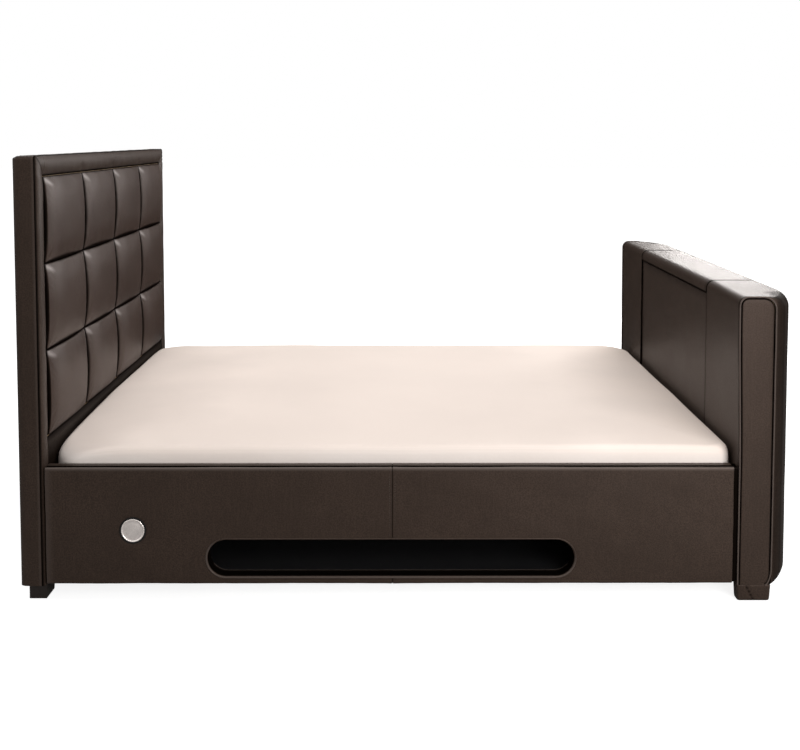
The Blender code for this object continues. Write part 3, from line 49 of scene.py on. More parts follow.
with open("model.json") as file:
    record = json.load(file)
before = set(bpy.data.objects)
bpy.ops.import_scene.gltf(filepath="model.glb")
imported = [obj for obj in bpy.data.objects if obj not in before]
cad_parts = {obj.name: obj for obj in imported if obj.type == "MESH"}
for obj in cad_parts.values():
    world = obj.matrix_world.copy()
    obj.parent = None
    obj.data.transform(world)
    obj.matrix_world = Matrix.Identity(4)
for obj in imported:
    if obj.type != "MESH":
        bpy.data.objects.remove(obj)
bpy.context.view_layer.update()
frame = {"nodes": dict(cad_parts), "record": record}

# Places read from the frame
BAND_LOW, BAND_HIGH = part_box("headboard_side_band")
PAD_BOXES = [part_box(f"headboard_pads_{row}") for row in (1, 2, 3)]
BORDER_LOW, BORDER_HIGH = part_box("headboard_border")
LOWER_LOW, LOWER_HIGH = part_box("headboard_lower_panel")
RAIL_LOW, RAIL_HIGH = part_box("rail_cover_near")
BOARD_LOW, BOARD_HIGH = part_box("rail_board_near")
DISC_LOW, DISC_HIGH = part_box("rail_disc")
SHELF_LOW, SHELF_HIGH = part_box("media_shelf")
BED_LOW, BED_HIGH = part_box("mattress")
END_LOW, END_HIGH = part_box("footboard_end_cover_far")
LID_LOW, LID_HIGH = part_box("lid_cover")
INNER_LOW, INNER_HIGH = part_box("footboard_inner_cover")
_, OUTER_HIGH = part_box("footboard_outer_cover")
FOOT_LOW, FOOT_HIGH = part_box("footboard_foot_far")
SIDE_Y = BAND_HIGH.y
FOOT_FACE_X = END_LOW.x
FOOT_OUTER_X = END_HIGH.x
FOOT_TOP_Z = END_HIGH.z
FOOT_BOTTOM_Z = END_LOW.z
DISC_X, DISC_Z = (DISC_LOW.x + DISC_HIGH.x) / 2, (DISC_LOW.z + DISC_HIGH.z) / 2
DISC_RADIUS = (DISC_HIGH.x - DISC_LOW.x) / 2
SIDES = ((-1, "near"), (1, "far"))
# Signs of the corners of a plan, in the order of their angles
QUARTERS = ((1, 1), (-1, 1), (-1, -1), (1, -1))
# Least radius of a corner that is moved inward
TIGHT = 0.0004
# Sine waves that add up to an uneven field
WAVES = 7


# Properties that a user would change

class BedSizes(PropertyGroup):
    pad_swell: FloatProperty(
        name="Pad swell", description="Most that the stuffing may push a pad's leather out",
        default=0.006, min=0.0, max=0.02, unit="LENGTH")
    pad_voxel: FloatProperty(
        name="Pad mesh", description="Size of the mesh of a stuffed pad",
        default=0.0042, min=0.003, max=0.02, unit="LENGTH")
    seam_depth: FloatProperty(
        name="Seam depth", description="Depth of the groove along a sewn seam",
        default=0.0016, min=0.0, max=0.005, unit="LENGTH")
    seam_width: FloatProperty(
        name="Seam width", description="Half width of the groove along a sewn seam",
        default=0.0016, min=0.0005, max=0.01, unit="LENGTH")
    welt_radius: FloatProperty(
        name="Welt radius", description="Radius of the piping round each end of the footboard",
        default=0.0026, min=0.001, max=0.006, unit="LENGTH")
    stitch_length: FloatProperty(
        name="Stitch length", description="Length of one stitch",
        default=0.0052, min=0.002, max=0.02, unit="LENGTH")
    stitch_pitch: FloatProperty(
        name="Stitch pitch", description="Distance from one stitch to the next",
        default=0.0072, min=0.003, max=0.03, unit="LENGTH")
    mattress_crown: FloatProperty(
        name="Mattress crown", description="Rise of the mattress from its edge to its middle",
        default=0.017, min=0.0, max=0.05, unit="LENGTH")


class BedColours(PropertyGroup):
    leather: FloatVectorProperty(
        name="Leather", description="Colour of the plain leather",
        default=(0.0335, 0.0218, 0.0160), size=3, subtype="COLOR", min=0, max=1)
    # A lighter, redder copy of the plain leather: the pads' leather is the same, painted as if it
    # caught more light.
    pad_leather: FloatVectorProperty(
        name="Pad leather", description="Colour of the leather on the headboard pads",
        default=(0.0390, 0.0236, 0.0180), size=3, subtype="COLOR", min=0, max=1)
    thread: FloatVectorProperty(
        name="Thread", description="Colour of the sewing thread",
        default=(0.040, 0.028, 0.021), size=3, subtype="COLOR", min=0, max=1)
    ticking: FloatVectorProperty(
        name="Mattress cloth", description="Colour of the mattress cover",
        default=(0.86, 0.748, 0.678), size=3, subtype="COLOR", min=0, max=1)
    disc: FloatVectorProperty(
        name="Disc metal", description="Colour of the round metal disc",
        default=(0.68, 0.62, 0.585), size=3, subtype="COLOR", min=0, max=1)


class BedStudio(PropertyGroup):
    overhead: FloatProperty(
        name="Overhead light", description="Power of the soft light above the bed",
        default=84.0, min=0.0, max=2000.0, unit="POWER")
    behind: FloatProperty(
        name="Light behind", description="Power of the soft light behind the bed",
        default=105.0, min=0.0, max=2000.0, unit="POWER")
    front: FloatProperty(
        name="Front light", description="Power of the soft light beside the camera",
        default=98.0, min=0.0, max=2000.0, unit="POWER")
    low: FloatProperty(
        name="Low light", description="Power of the low soft light off the foot of the bed",
        default=9.0, min=0.0, max=2000.0, unit="POWER")
    glare: FloatProperty(
        name="Glare", description="Strength of the bright patch that the footboard's top mirrors",
        default=13.6, min=0.0, max=40.0)
    surround: FloatProperty(
        name="Surround", description="Strength of the light from all round",
        default=0.34, min=0.0, max=2.0)
    lens: FloatProperty(
        name="Lens", description="Focal length of the camera",
        default=46.18, min=10.0, max=200.0, unit="CAMERA")


# Numbers along a line or over a surface

def spread(low, high, step, marks=(), fine=0.0008, reach=0.004):
    """Places from low to high, evenly spaced and closer together round each mark."""
    places = list(np.linspace(low, high, max(2, int(round((high - low) / step)) + 1)))
    for mark in marks:
        close = mark + np.arange(-reach, reach + fine / 2, fine)
        places = [place for place in places
                  if abs(place - mark) > reach + fine / 2 or place in (low, high)]
        places += [place for place in close if low + fine / 2 < place < high - fine / 2]
    return np.array(sorted(places))


def dip(distance, width):
    """1 on a seam, falling to 0 within about twice the width."""
    return np.exp(-(distance / width) ** 2)


def ease(value, low, high):
    """0 below low, 1 above high and smooth between them."""
    share = np.clip((value - low) / (high - low), 0, 1)
    return share * share * (3 - 2 * share)


def wander(points, size, seed):
    """Smooth uneven field from about -1 to 1, the same on each run."""
    generator = np.random.default_rng(seed)
    total = np.zeros(points.shape[:-1])
    for _ in range(WAVES):
        direction = generator.normal(size=3)
        direction /= np.linalg.norm(direction)
        frequency = math.tau / size * generator.uniform(0.6, 1.5)
        total += np.sin(points @ direction * frequency + generator.uniform(0, math.tau))
    return total / (WAVES / 2)


def rounded_end(radius, back):
    """(distance from an end, inset) pairs that roll an edge over and turn it in."""
    pairs = [(0.0, radius + back), (0.0, radius + back / 2)]
    for step in range(7):
        angle = math.pi / 2 * step / 6
        pairs.append((radius * (1 - math.cos(angle)), radius * (1 - math.sin(angle))))
    return pairs


def stations(low, high, step, radius, back=0.004, marks=()):
    """(place, inset) pairs from low to high, rolled over at both ends."""
    start = [(low + distance, inset) for distance, inset in rounded_end(radius, back)]
    end = [(high - distance, inset) for distance, inset in rounded_end(radius, back)]
    middle = [(place, 0.0) for place in
              spread(low + 2 * radius, high - 2 * radius, step, marks)]
    return start + middle + end[::-1]


# Meshes

SAME_POINT = 1e-6


def grid_faces(rows, columns, around=False, along=False):
    """Four-sided faces between neighbours in a grid, closed around or along it where asked."""
    index = np.arange(rows * columns).reshape(rows, columns)
    if along:
        index = np.vstack([index, index[:1]])
    if around:
        index = np.hstack([index, index[:, :1]])
    corners = [index[:-1, :-1], index[:-1, 1:], index[1:, 1:], index[1:, :-1]]
    return np.stack(corners, -1).reshape(-1, 4)


def point_normals(points, faces):
    """Unit normal of each point, from the faces that meet there."""
    across = np.cross(points[faces[:, 2]] - points[faces[:, 0]],
                      points[faces[:, 3]] - points[faces[:, 1]])
    normals = np.zeros_like(points)
    for corner in range(4):
        np.add.at(normals, faces[:, corner], across)
    return normals / np.maximum(np.linalg.norm(normals, axis=1), 1e-12)[:, None]


def outward_normals(grid, inside):
    """Unit normal of each grid point, turned away from a point inside."""
    points = grid.reshape(-1, 3)
    normals = point_normals(points, grid_faces(*grid.shape[:2]))
    if ((points - np.array(inside)) * normals).sum() < 0:
        normals = -normals
    return normals.reshape(grid.shape)


def clean_mesh(name, points, faces):
    """Mesh with doubled points joined and its faces turned outward."""
    mesh = bpy.data.meshes.new(name)
    mesh.from_pydata([tuple(point) for point in points], [], [tuple(face) for face in faces])
    bm = bmesh.new()
    bm.from_mesh(mesh)
    bmesh.ops.remove_doubles(bm, verts=bm.verts[:], dist=SAME_POINT)
    bmesh.ops.dissolve_degenerate(bm, dist=SAME_POINT, edges=bm.edges[:])
    bmesh.ops.recalc_face_normals(bm, faces=bm.faces[:])
    bm.to_mesh(mesh)
    bm.free()
    return mesh


def two_sheets(name, front, back):
    """Closed form between two sheets of points that have the same layout."""
    rows, columns = front.shape[:2]
    count = rows * columns
    index = np.arange(count).reshape(rows, columns)
    rim = np.concatenate([index[0], index[1:, -1], index[-1, -2::-1], index[-2::-1, 0]])
    edges = np.stack([rim[:-1], rim[1:], rim[1:] + count, rim[:-1] + count], -1)
    faces = grid_faces(rows, columns)
    faces = np.vstack([faces, faces[:, ::-1] + count, edges])
    return clean_mesh(name, np.vstack([front.reshape(-1, 3), back.reshape(-1, 3)]), faces)


def shell(name, grid, thickness, inside):
    """Closed skin made from a sheet of points by thickening it towards a point inside."""
    return two_sheets(name, grid, grid - outward_normals(grid, inside) * thickness)


def upright_sheet(name, x, ys, zs, thickness):
    """Flat sheet across the bed at one place along it, between two ys and two zs."""
    y, z = np.meshgrid(ys, zs)
    front = np.stack([np.full_like(y, x), y, z], -1)
    return shell(name, front, thickness, (x - 1, 0, sum(zs) / 2))


def solid(name, grid):
    """Closed body skinned through rings of points, capped at both ends."""
    rows, columns = grid.shape[:2]
    faces = [tuple(face) for face in grid_faces(rows, columns, around=True)]
    faces.append(tuple(range(columns - 1, -1, -1)))
    faces.append(tuple(range((rows - 1) * columns, rows * columns)))
    return clean_mesh(name, grid.reshape(-1, 3), faces)


def hoop(name, grid):
    """Closed body whose last ring joins its first."""
    faces = grid_faces(*grid.shape[:2], around=True, along=True)
    return clean_mesh(name, grid.reshape(-1, 3), faces)


def mesh_points(mesh):
    """Places of a mesh's points, one row each."""
    points = np.zeros(len(mesh.vertices) * 3)
    mesh.vertices.foreach_get("co", points)
    return points.reshape(-1, 3)


def place_piece(name, mesh, material, body="bed", stands_for=(), masks=None,
                sharp=50):
    """Put a finished mesh in the scene as a piece that rides on a body of the frame."""
    mesh.name = name
    mesh.shade_smooth()
    mesh.set_sharp_from_angle(angle=math.radians(sharp))
    mesh.materials.clear()
    mesh.materials.append(material)
    points = mesh_points(mesh)
    for mask, values in (masks or {}).items():
        attribute = mesh.attributes.new(mask, "FLOAT", "POINT")
        attribute.data.foreach_set("value", np.clip(values(points), 0, 1).astype(np.float32))
    piece = bpy.data.objects.new(name, mesh)
    bpy.context.scene.collection.objects.link(piece)
    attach(piece, body)
    if stands_for:
        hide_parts(*stands_for)
    return piece


def path_normals(path):
    """Outward unit normals of an open line of points that runs with its outside on the left."""
    ahead = np.gradient(path, axis=0)
    normals = np.stack([-ahead[:, 1], ahead[:, 0]], -1)
    return normals / np.maximum(np.linalg.norm(normals, axis=1), 1e-12)[:, None]


def sweep(path, pairs, place):
    """Grid of a section swept along an axis: each pair is (distance, inset)."""
    normals = path_normals(path)
    return np.array([[place(distance, point) for point in path - normals * inset]
                     for distance, inset in pairs])


def bend(centre, radius, start, end, steps=6):
    """Points of an arc, in degrees, ends included."""
    angles = np.radians(np.linspace(start, end, steps + 1))
    return [(centre[0] + radius * math.cos(angle), centre[1] + radius * math.sin(angle))
            for angle in angles]


def line(first, last, count):
    """Points strictly between two ends."""
    shares = np.linspace(0, 1, count + 2)[1:-1]
    return [(first[0] + (last[0] - first[0]) * share, first[1] + (last[1] - first[1]) * share)
            for share in shares]


def round_angles(count):
    """Angles of points evenly spaced round a circle."""
    return np.linspace(0, math.tau, count + 1)[:-1]


def rounded_ring(corners, counts):
    """Points round a closed outline: its corner arcs and the points between them."""
    points = []
    for number, (corner, count) in enumerate(zip(corners, counts)):
        points += corner + line(corner[-1], corners[(number + 1) % len(corners)][0], count)
    return points


# share of a stitch's length, share of its radius
STITCH_RINGS = ((-0.5, 0.25), (-0.34, 0.9), (0.34, 0.9), (0.5, 0.25))
STITCH_SIDES = 6


def stitches(name, rows, normal, length, pitch, radius, skip):
    """Short thread capsules along each row, a start and an end point, lying on the surface."""
    normal = np.array(normal, float)
    points = []
    faces = []
    ring = round_angles(STITCH_SIDES)
    walls = grid_faces(len(STITCH_RINGS), STITCH_SIDES, around=True)
    for start, end in rows:
        start, end = np.array(start), np.array(end)
        along = (end - start) / np.linalg.norm(end - start)
        across = np.cross(along, normal)
        for number in range(int(np.linalg.norm(end - start) / pitch)):
            middle = start + along * pitch * (number + 0.5)
            if skip(middle):
                continue
            base = len(points)
            for share, size in STITCH_RINGS:
                for angle in ring:
                    points.append(middle + along * length * share + radius * size
                                  * (normal * math.sin(angle) + across * math.cos(angle)))
            faces += [tuple(face) for face in walls + base]
            faces.append(tuple(range(base + STITCH_SIDES - 1, base - 1, -1)))
            faces.append(tuple(range(len(points) - STITCH_SIDES, len(points))))
    return clean_mesh(name, points, faces)


def all_over(value):
    """Mask with one value on every point."""
    return lambda points: np.full(len(points), value)


# Materials

class Wire:
    """A socket in a node tree that takes part in plain arithmetic."""

    def __init__(self, finish, socket):
        self.finish = finish
        self.socket = socket

    def __add__(self, other):
        return self.finish.number("ADD", self, other)

    def __radd__(self, other):
        return self.finish.number("ADD", other, self)

    def __sub__(self, other):
        return self.finish.number("SUBTRACT", self, other)

    def __rsub__(self, other):
        return self.finish.number("SUBTRACT", other, self)

    def __mul__(self, other):
        return self.finish.number("MULTIPLY", self, other)

    def __rmul__(self, other):
        return self.finish.number("MULTIPLY", other, self)

    def __truediv__(self, other):
        return self.finish.number("DIVIDE", self, other)

    def __rtruediv__(self, other):
        return self.finish.number("DIVIDE", other, self)


class Finish:
    """The nodes of one material or of the world."""

    def __init__(self, owner):
        owner.use_nodes = True
        self.tree = owner.node_tree
        self.tree.nodes.clear()

    def node(self, kind, settings=None, values=None, output=0):
        """One node: its settings first, then a value or a link for each socket named."""
        node = self.tree.nodes.new(kind)
        for name, value in (settings or {}).items():
            setattr(node, name, value)
        for name, value in (values or {}).items():
            socket = node.inputs[name]
            if isinstance(value, Wire):
                self.tree.links.new(value.socket, socket)
            elif hasattr(value, "__len__") and len(socket.default_value) == 4:
                socket.default_value = (*value[:3], 1)
            else:
                socket.default_value = value
        return node if output is None else Wire(self, node.outputs[output])

    def number(self, operation, first, second=0.0):
        """Math node on one or two values."""
        return self.node("ShaderNodeMath", {"operation": operation}, {0: first, 1: second})

    def vector(self, operation, first, second):
        """Vector Math node on two vectors."""
        return self.node("ShaderNodeVectorMath", {"operation": operation}, {0: first, 1: second})

    def length(self, vector):
        """Length of a vector."""
        return self.node("ShaderNodeVectorMath", {"operation": "LENGTH"}, {0: vector},
                         output="Value")

    def mix(self, share, first, second):
        """Colour that goes from the first to the second."""
        return self.node("ShaderNodeMix", {"data_type": "RGBA"},
                         {0: share, 6: first, 7: second}, output=2)

    def place(self, scale=(1, 1, 1)):
        """Place on the piece, in metres, stretched along each axis."""
        here = self.node("ShaderNodeTexCoord", output="Object")
        return here if tuple(scale) == (1, 1, 1) else self.vector("MULTIPLY", here, scale)

    def axis(self, name):
        """Place on the piece along X, Y or Z."""
        return self.node("ShaderNodeSeparateXYZ", None, {0: self.place()}, output=name)

    def noise(self, where, scale, detail=2.0, roughness=0.5):
        """Cloudy value, mostly from 0.3 to 0.7."""
        return self.node("ShaderNodeTexNoise", None,
                         {"Vector": where, "Scale": scale, "Detail": detail,
                          "Roughness": roughness})

    def cells(self, where, scale, randomness=1.0):
        """Distance from the middle of the nearest cell."""
        return self.node("ShaderNodeTexVoronoi", None,
                         {"Vector": where, "Scale": scale, "Randomness": randomness},
                         output="Distance")

    def bands(self, where, scale, direction, values=None):
        """Wavy bands across one axis."""
        return self.node("ShaderNodeTexWave", {"wave_type": "BANDS", "bands_direction": direction},
                         {"Vector": where, "Scale": scale, **(values or {})})

    def between(self, value, low, high):
        """0 below low, 1 above high and smooth between them."""
        return self.node("ShaderNodeMapRange", {"interpolation_type": "SMOOTHSTEP"},
                         {"Value": value, "From Min": low, "From Max": high})

    def mask(self, name):
        """Value stored on the points of the piece, 0 where it has none."""
        return self.node("ShaderNodeAttribute", {"attribute_name": name}, output="Fac")

    def bump(self, height, distance):
        """Normal that follows a height, at most this far."""
        return self.node("ShaderNodeBump", None, {"Height": height, "Distance": distance})

    def glow(self, colour, strength, matt):
        """Plain emitting surface over a matt colour."""
        light = self.node("ShaderNodeEmission", None, {"Color": colour, "Strength": strength})
        cloth = self.node("ShaderNodeBsdfDiffuse", None, {"Color": matt})
        both = self.node("ShaderNodeAddShader", None, {0: light, 1: cloth})
        self.node("ShaderNodeOutputMaterial", None, {"Surface": both}, output=None)

    def surface(self, values, dull_share=None, dull_colour=(0, 0, 0)):
        """Principled shader on the surface output, with a dull dark one where the share asks."""
        shader = self.node("ShaderNodeBsdfPrincipled", None, values, output="BSDF")
        if dull_share is not None:
            dull = self.node("ShaderNodeBsdfPrincipled", None,
                             {"Base Color": dull_colour, "Roughness": 1.0,
                              "Specular IOR Level": 0.0}, output="BSDF")
            shader = self.node("ShaderNodeMixShader", None,
                               {0: dull_share, 1: shader, 2: dull})
        self.node("ShaderNodeOutputMaterial", None, {"Surface": shader}, output=None)


def new_finish(name):
    """The material of this name, and its nodes when it has only now been made."""
    name = f"finish_{name}"
    material = bpy.data.materials.get(name)
    if material:
        return material, None
    material = bpy.data.materials.new(name)
    return material, Finish(material)


def shade(colour, factor):
    """Lighter or darker colour."""
    return tuple(channel * factor for channel in colour)


def leather(name, colour, gloss=0.37, grain=0.00030, painted_lift=0.045):
    """Coated leather: pebbled grain, faint stretch marks, dull dark painted shade in seams and
    hollows, paler painted highlights.
    """
    material, f = new_finish(name)
    if not f:
        return material
    where = f.place()
    cloud = f.noise(where, 5.0, 3.0, 0.55)
    streak = f.noise(f.place((9, 9, 1.2)), 14.0, 3.0, 0.6)
    jitter = f.node("ShaderNodeTexNoise", None, {"Vector": where, "Scale": 260.0}, output="Color")
    jitter = f.vector("MULTIPLY", jitter, (0.0012, 0.0012, 0.0012))
    pebble = f.cells(f.vector("ADD", where, jitter), 560.0)
    crack = f.between(pebble, 0.25, 0.62)
    pores = f.noise(where, 1300.0, 2.0, 0.6)
    mottle = f.noise(where, 230.0, 3.0, 0.7)
    tone = f.mix(f.between(cloud, 0.32, 0.68), shade(colour, 0.88), shade(colour, 1.12))
    tone = f.mix(f.between(mottle, 0.42, 0.58) * 0.9, tone, shade(colour, 0.50))
    tone = f.mix(f.between(streak, 0.45, 0.75) * 0.30, tone, shade(colour, 1.35))
    tone = f.mix(crack * 0.34, tone, shade(colour, 0.55))
    # Paler colour for painted highlights and painted light on lit faces.
    pale = tuple(channel * 1.6 + painted_lift for channel in colour)
    tone = f.mix(f.mask("worn") * 0.85, tone, pale)
    rough = gloss + (cloud - 0.5) * 0.10 + crack * 0.08
    height = (1 - pebble) * 0.55 + pores * 0.2 + mottle * 0.9
    # Where the seam mask asks, a dull dark shader is mixed in: painted shade in seams, gaps and
    # hollows and on faces turned from the light.
    f.surface({"Base Color": tone, "Roughness": rough, "Normal": f.bump(height, grain), "IOR": 1.48,
               "Specular IOR Level": 0.30, "Specular Tint": (1.0, 0.77, 0.67)},
              f.mask("seam") * 0.96, shade(colour, 0.06))
    return material


def thread(name, colour):
    """Twisted sewing thread."""
    material, f = new_finish(name)
    if not f:
        return material
    twist = f.noise(f.place(), 2400.0, 1.0)
    f.surface({"Base Color": f.mix(twist, shade(colour, 0.7), shade(colour, 1.3)),
               "Roughness": 0.55, "Normal": f.bump(twist, 0.0002)})
    return material


def ticking(name, colour):
    """Knitted mattress cloth: fine wales and courses, paler low on its side, with painted light at
    both ends and a painted warm reflection towards the foot.
    """
    material, f = new_finish(name)
    if not f:
        return material
    wale = f.bands(f.place(), 95.0, "Y", {"Distortion": 1.2, "Detail": 1.0})
    course = f.bands(f.place(), 120.0, "X", {"Distortion": 1.0, "Detail": 1.0})
    fuzz = f.noise(f.place(), 900.0, 3.0)
    cloud = f.noise(f.place(), 2.4, 3.0)
    height = wale * 0.45 + course * 0.35 + fuzz * 0.2
    rise = f.between(f.axis("Z"), BED_HIGH.z - 0.050, BED_HIGH.z - 0.014)
    pale, painted_warm_tint = (tuple(min(1, channel * factor) for channel, factor in zip(colour, factors))
                  for factors in ((1.03, 1.07, 1.10), (0.98, 0.955, 0.92)))
    tone = f.mix(rise, pale, colour)
    along = f.axis("X")
    # Painted light: paler towards both ends of the mattress.
    tone = f.mix(f.between(along * along, 0.08, 0.45) * rise, tone, shade(colour, 1.10))
    # Painted reflection: warmer towards the footboard.
    tone = f.mix(f.between(along, 0.55, 1.0) * rise * 0.6, tone, painted_warm_tint)
    tone = f.mix(f.between(cloud, 0.3, 0.7) * 0.5, tone, shade(colour, 0.94))
    tone = f.mix(f.between(height, 0.35, 0.75) * 0.10, tone, shade(colour, 0.80))
    tone = f.mix(f.mask("seam") * 0.35, tone, shade(colour, 0.62))
    f.surface({"Base Color": tone, "Roughness": 0.90, "Specular IOR Level": 0.03,
               "Normal": f.bump(height, 0.0004)})
    return material


def timber(name, colour, grain_scale, axis=0, rough=0.62, plies=False):
    """Planed wood: rings stretched along one axis, fine pores, and plies where it is plywood."""
    material, f = new_finish(name)
    if not f:
        return material
    stretch = [1.0, 1.0, 1.0]
    stretch[axis] = 0.07
    where = f.place(stretch)
    warp = f.noise(where, grain_scale * 0.35, 3.0)
    rings = f.node("ShaderNodeTexWave", {"wave_type": "RINGS", "rings_direction": "XYZ"[axis]},
                   {"Vector": where, "Scale": grain_scale * 0.22, "Distortion": 5.0,
                    "Detail": 2.0, "Detail Scale": 1.6})
    pores = f.noise(where, grain_scale * 18, 2.0)
    tone = f.mix(rings, shade(colour, 0.80), shade(colour, 1.08))
    tone = f.mix(f.between(warp, 0.35, 0.7) * 0.4, tone, shade(colour, 0.88))
    tone = f.mix(f.between(pores, 0.58, 0.72) * 0.5, tone, shade(colour, 0.55))
    if plies:
        tone = f.mix(f.bands(f.place(), 90.0, "X") * 0.12, tone, shade(colour, 0.5))
    f.surface({"Base Color": tone, "Roughness": rough + pores * 0.10,
               "Normal": f.bump(rings * 0.4 + pores * 0.6, 0.0002)})
    return material


def metal(name, colour, rough, brushed=0.0, metallic=1.0, speck=0.0):
    """Metal or powder coat: upright drawn lines, faint spangle and handling marks."""
    material, f = new_finish(name)
    if not f:
        return material
    lines = f.noise(f.place((420.0, 420.0, 6.0)), 1.0, 3.0, 0.7)
    cloud = f.noise(f.place(), 22.0, 3.0)
    spangle = f.cells(f.place(), 160.0)
    orange = f.noise(f.place(), 900.0, 2.0)
    tone = f.mix(f.between(cloud, 0.3, 0.7), shade(colour, 0.90), colour)
    tone = f.mix(spangle * speck, tone, shade(colour, 0.72))
    tone = f.mix(lines * brushed, tone, shade(colour, 0.70))
    f.surface({"Base Color": tone, "Metallic": metallic,
               "Roughness": rough + (lines - 0.5) * 0.25 * brushed + (cloud - 0.5) * 0.12,
               "Normal": f.bump(lines * brushed + orange * (1 - brushed), 0.00012)})
    return material


def moulded(name, colour, rough=0.48):
    """Moulded plastic with a fine spark texture."""
    material, f = new_finish(name)
    if not f:
        return material
    spark = f.noise(f.place(), 1500.0, 2.0)
    cloud = f.noise(f.place(), 18.0, 3.0)
    f.surface({"Base Color": f.mix(cloud, shade(colour, 0.85), shade(colour, 1.2)),
               "Roughness": rough + (spark - 0.5) * 0.14 + (cloud - 0.5) * 0.08,
               "Specular IOR Level": 0.28, "Normal": f.bump(spark, 0.00015)})
    return material


def dust_cloth(name, colour):
    """Black spun cloth with a felted, dimpled face."""
    material, f = new_finish(name)
    if not f:
        return material
    dimple = f.cells(f.place(), 420.0, 0.15)
    fibre = f.noise(f.place((1, 2.2, 1)), 700.0, 4.0, 0.7)
    f.surface({"Base Color": f.mix(fibre, shade(colour, 0.6), shade(colour, 1.8)),
               "Roughness": 0.9 + (fibre - 0.5) * 0.1,
               "Normal": f.bump(dimple * 0.6 + fibre * 0.4, 0.0006)})
    return material


# Cloth

CLOTH_FRAMES = 20
CLOTH_SETTINGS = {"quality": 4, "mass": 0.4, "use_pressure": True, "tension_stiffness": 18,
                  "compression_stiffness": 18, "bending_stiffness": 0.6}


def inflate(mesh, voxel, pressure, cap, held):
    """Remesh a closed form and blow it up with cloth, keeping the points that held() picks."""
    scene = bpy.context.scene
    body = bpy.data.objects.new("stuffing", mesh)
    scene.collection.objects.link(body)
    remesh = body.modifiers.new("remesh", "REMESH")
    remesh.mode = "VOXEL"
    remesh.voxel_size = voxel
    depsgraph = bpy.context.evaluated_depsgraph_get()
    body.data = bpy.data.meshes.new_from_object(body.evaluated_get(depsgraph))
    body.modifiers.clear()
    rest = mesh_points(body.data)
    group = body.vertex_groups.new(name="held")
    group.add(np.flatnonzero(held(rest)).tolist(), 1.0, "REPLACE")
    cloth = body.modifiers.new("cloth", "CLOTH")
    for setting, value in CLOTH_SETTINGS.items():
        setattr(cloth.settings, setting, value)
    cloth.settings.uniform_pressure_force = pressure
    cloth.settings.vertex_group_mass = "held"
    cloth.settings.effector_weights.gravity = 0
    cloth.collision_settings.use_collision = False
    for number in range(1, CLOTH_FRAMES + 1):
        scene.frame_set(number)
    depsgraph = bpy.context.evaluated_depsgraph_get()
    moved = bpy.data.meshes.new_from_object(body.evaluated_get(depsgraph))
    shift = mesh_points(moved) - rest
    size = np.linalg.norm(shift, axis=1)
    result = rest + shift * np.minimum(1, cap / np.maximum(size, 1e-9))[:, None]
    body.modifiers.clear()
    scene.frame_set(1)
    faces = [tuple(polygon.vertices) for polygon in body.data.polygons]
    bpy.data.objects.remove(body)
    return result, faces


# Headboard

PAD_COLUMNS = 4
PAD_SIZE = ((PAD_BOXES[0][1].y - PAD_BOXES[0][0].y) / PAD_COLUMNS,
            PAD_BOXES[0][1].z - PAD_BOXES[0][0].z)
PAD_DEPTH = PAD_BOXES[0][1].x - PAD_BOXES[0][0].x
PAD_BACK_X = PAD_BOXES[0][0].x
PAD_INSET = 0.0004
PAD_PULL = 0.0006
PAD_PRESSURE = 4.0
# Points this near the back or the edges of a pad stay put while it is stuffed
PAD_HELD_BACK = 0.0022
PAD_HELD_EDGE = 0.005
PAD_BACK_CLEARANCE = 0.0001
BACKING_OFFSET = 0.0012
BACKING_THICKNESS = 0.001


def pad_height(u, v):
    """Share of a pad's depth at (u, v), each from -1 to 1: low at its pinched corners."""
    edge = 0.16 + 0.26 * (1 - (u * v) ** 2) * (1 - (u * v) ** 4)
    middle = (1 - np.abs(u) ** 2.6) * (1 - np.abs(v) ** 2.6)
    return edge + (0.90 - edge) * np.sqrt(middle)


def pad_start():
    """A pad before it is stuffed: closed, flat behind and crowned in front."""
    shares = np.sin(np.linspace(-math.pi / 2, math.pi / 2, 41))
    u, v = np.meshgrid(shares, shares)
    width, height = PAD_SIZE[0] / 2 - PAD_INSET, PAD_SIZE[1] / 2 - PAD_INSET
    y = u * (width - PAD_PULL * (1 - v ** 2))
    z = v * (height - PAD_PULL * (1 - u ** 2))
    front = np.stack([PAD_DEPTH * pad_height(u, v), y, z], -1)
    back = np.stack([np.zeros_like(u), y, z], -1)
    return two_sheets("pad_start", front, back)


def pad_held(points):
    """True for the points of a pad that are sewn down."""
    return ((points[:, 0] < PAD_HELD_BACK)
            | (np.abs(points[:, 1]) > PAD_SIZE[0] / 2 - PAD_HELD_EDGE)
            | (np.abs(points[:, 2]) > PAD_SIZE[1] / 2 - PAD_HELD_EDGE))


def crease_pad(points, seed):
    """Soft pull marks that run from the corners of a pad, and slight unevenness."""
    width, height = PAD_SIZE[0] / 2, PAD_SIZE[1] / 2
    front = ease(points[:, 0], 0.004, 0.012)
    lift = 0.0004 * wander(points, 0.12, seed)
    generator = np.random.default_rng(seed + 90)
    for corner_y in (-1, 1):
        for corner_z in (-1, 1):
            across = (points[:, 1] - corner_y * width) * -corner_y
            up = (points[:, 2] - corner_z * height) * -corner_z
            reach = np.hypot(across, up)
            angle = np.arctan2(up, across)
            fold = np.sin(angle * 9 + generator.uniform(0, math.tau))
            lift += (0.00035 * generator.uniform(0.4, 1.2) * fold
                     * ease(reach, 0.008, 0.030) * (1 - ease(reach, 0.040, 0.085)))
    result = points.copy()
    result[:, 0] += lift * front
    return result


def pad_distances(points, middle):
    """Distance of each point from the near, far, lower and upper edge of its pad."""
    width, height = PAD_SIZE[0] / 2, PAD_SIZE[1] / 2
    y, z = points[:, 1] - middle[1], points[:, 2] - middle[2]
    return width + y, width - y, height + z, height - z


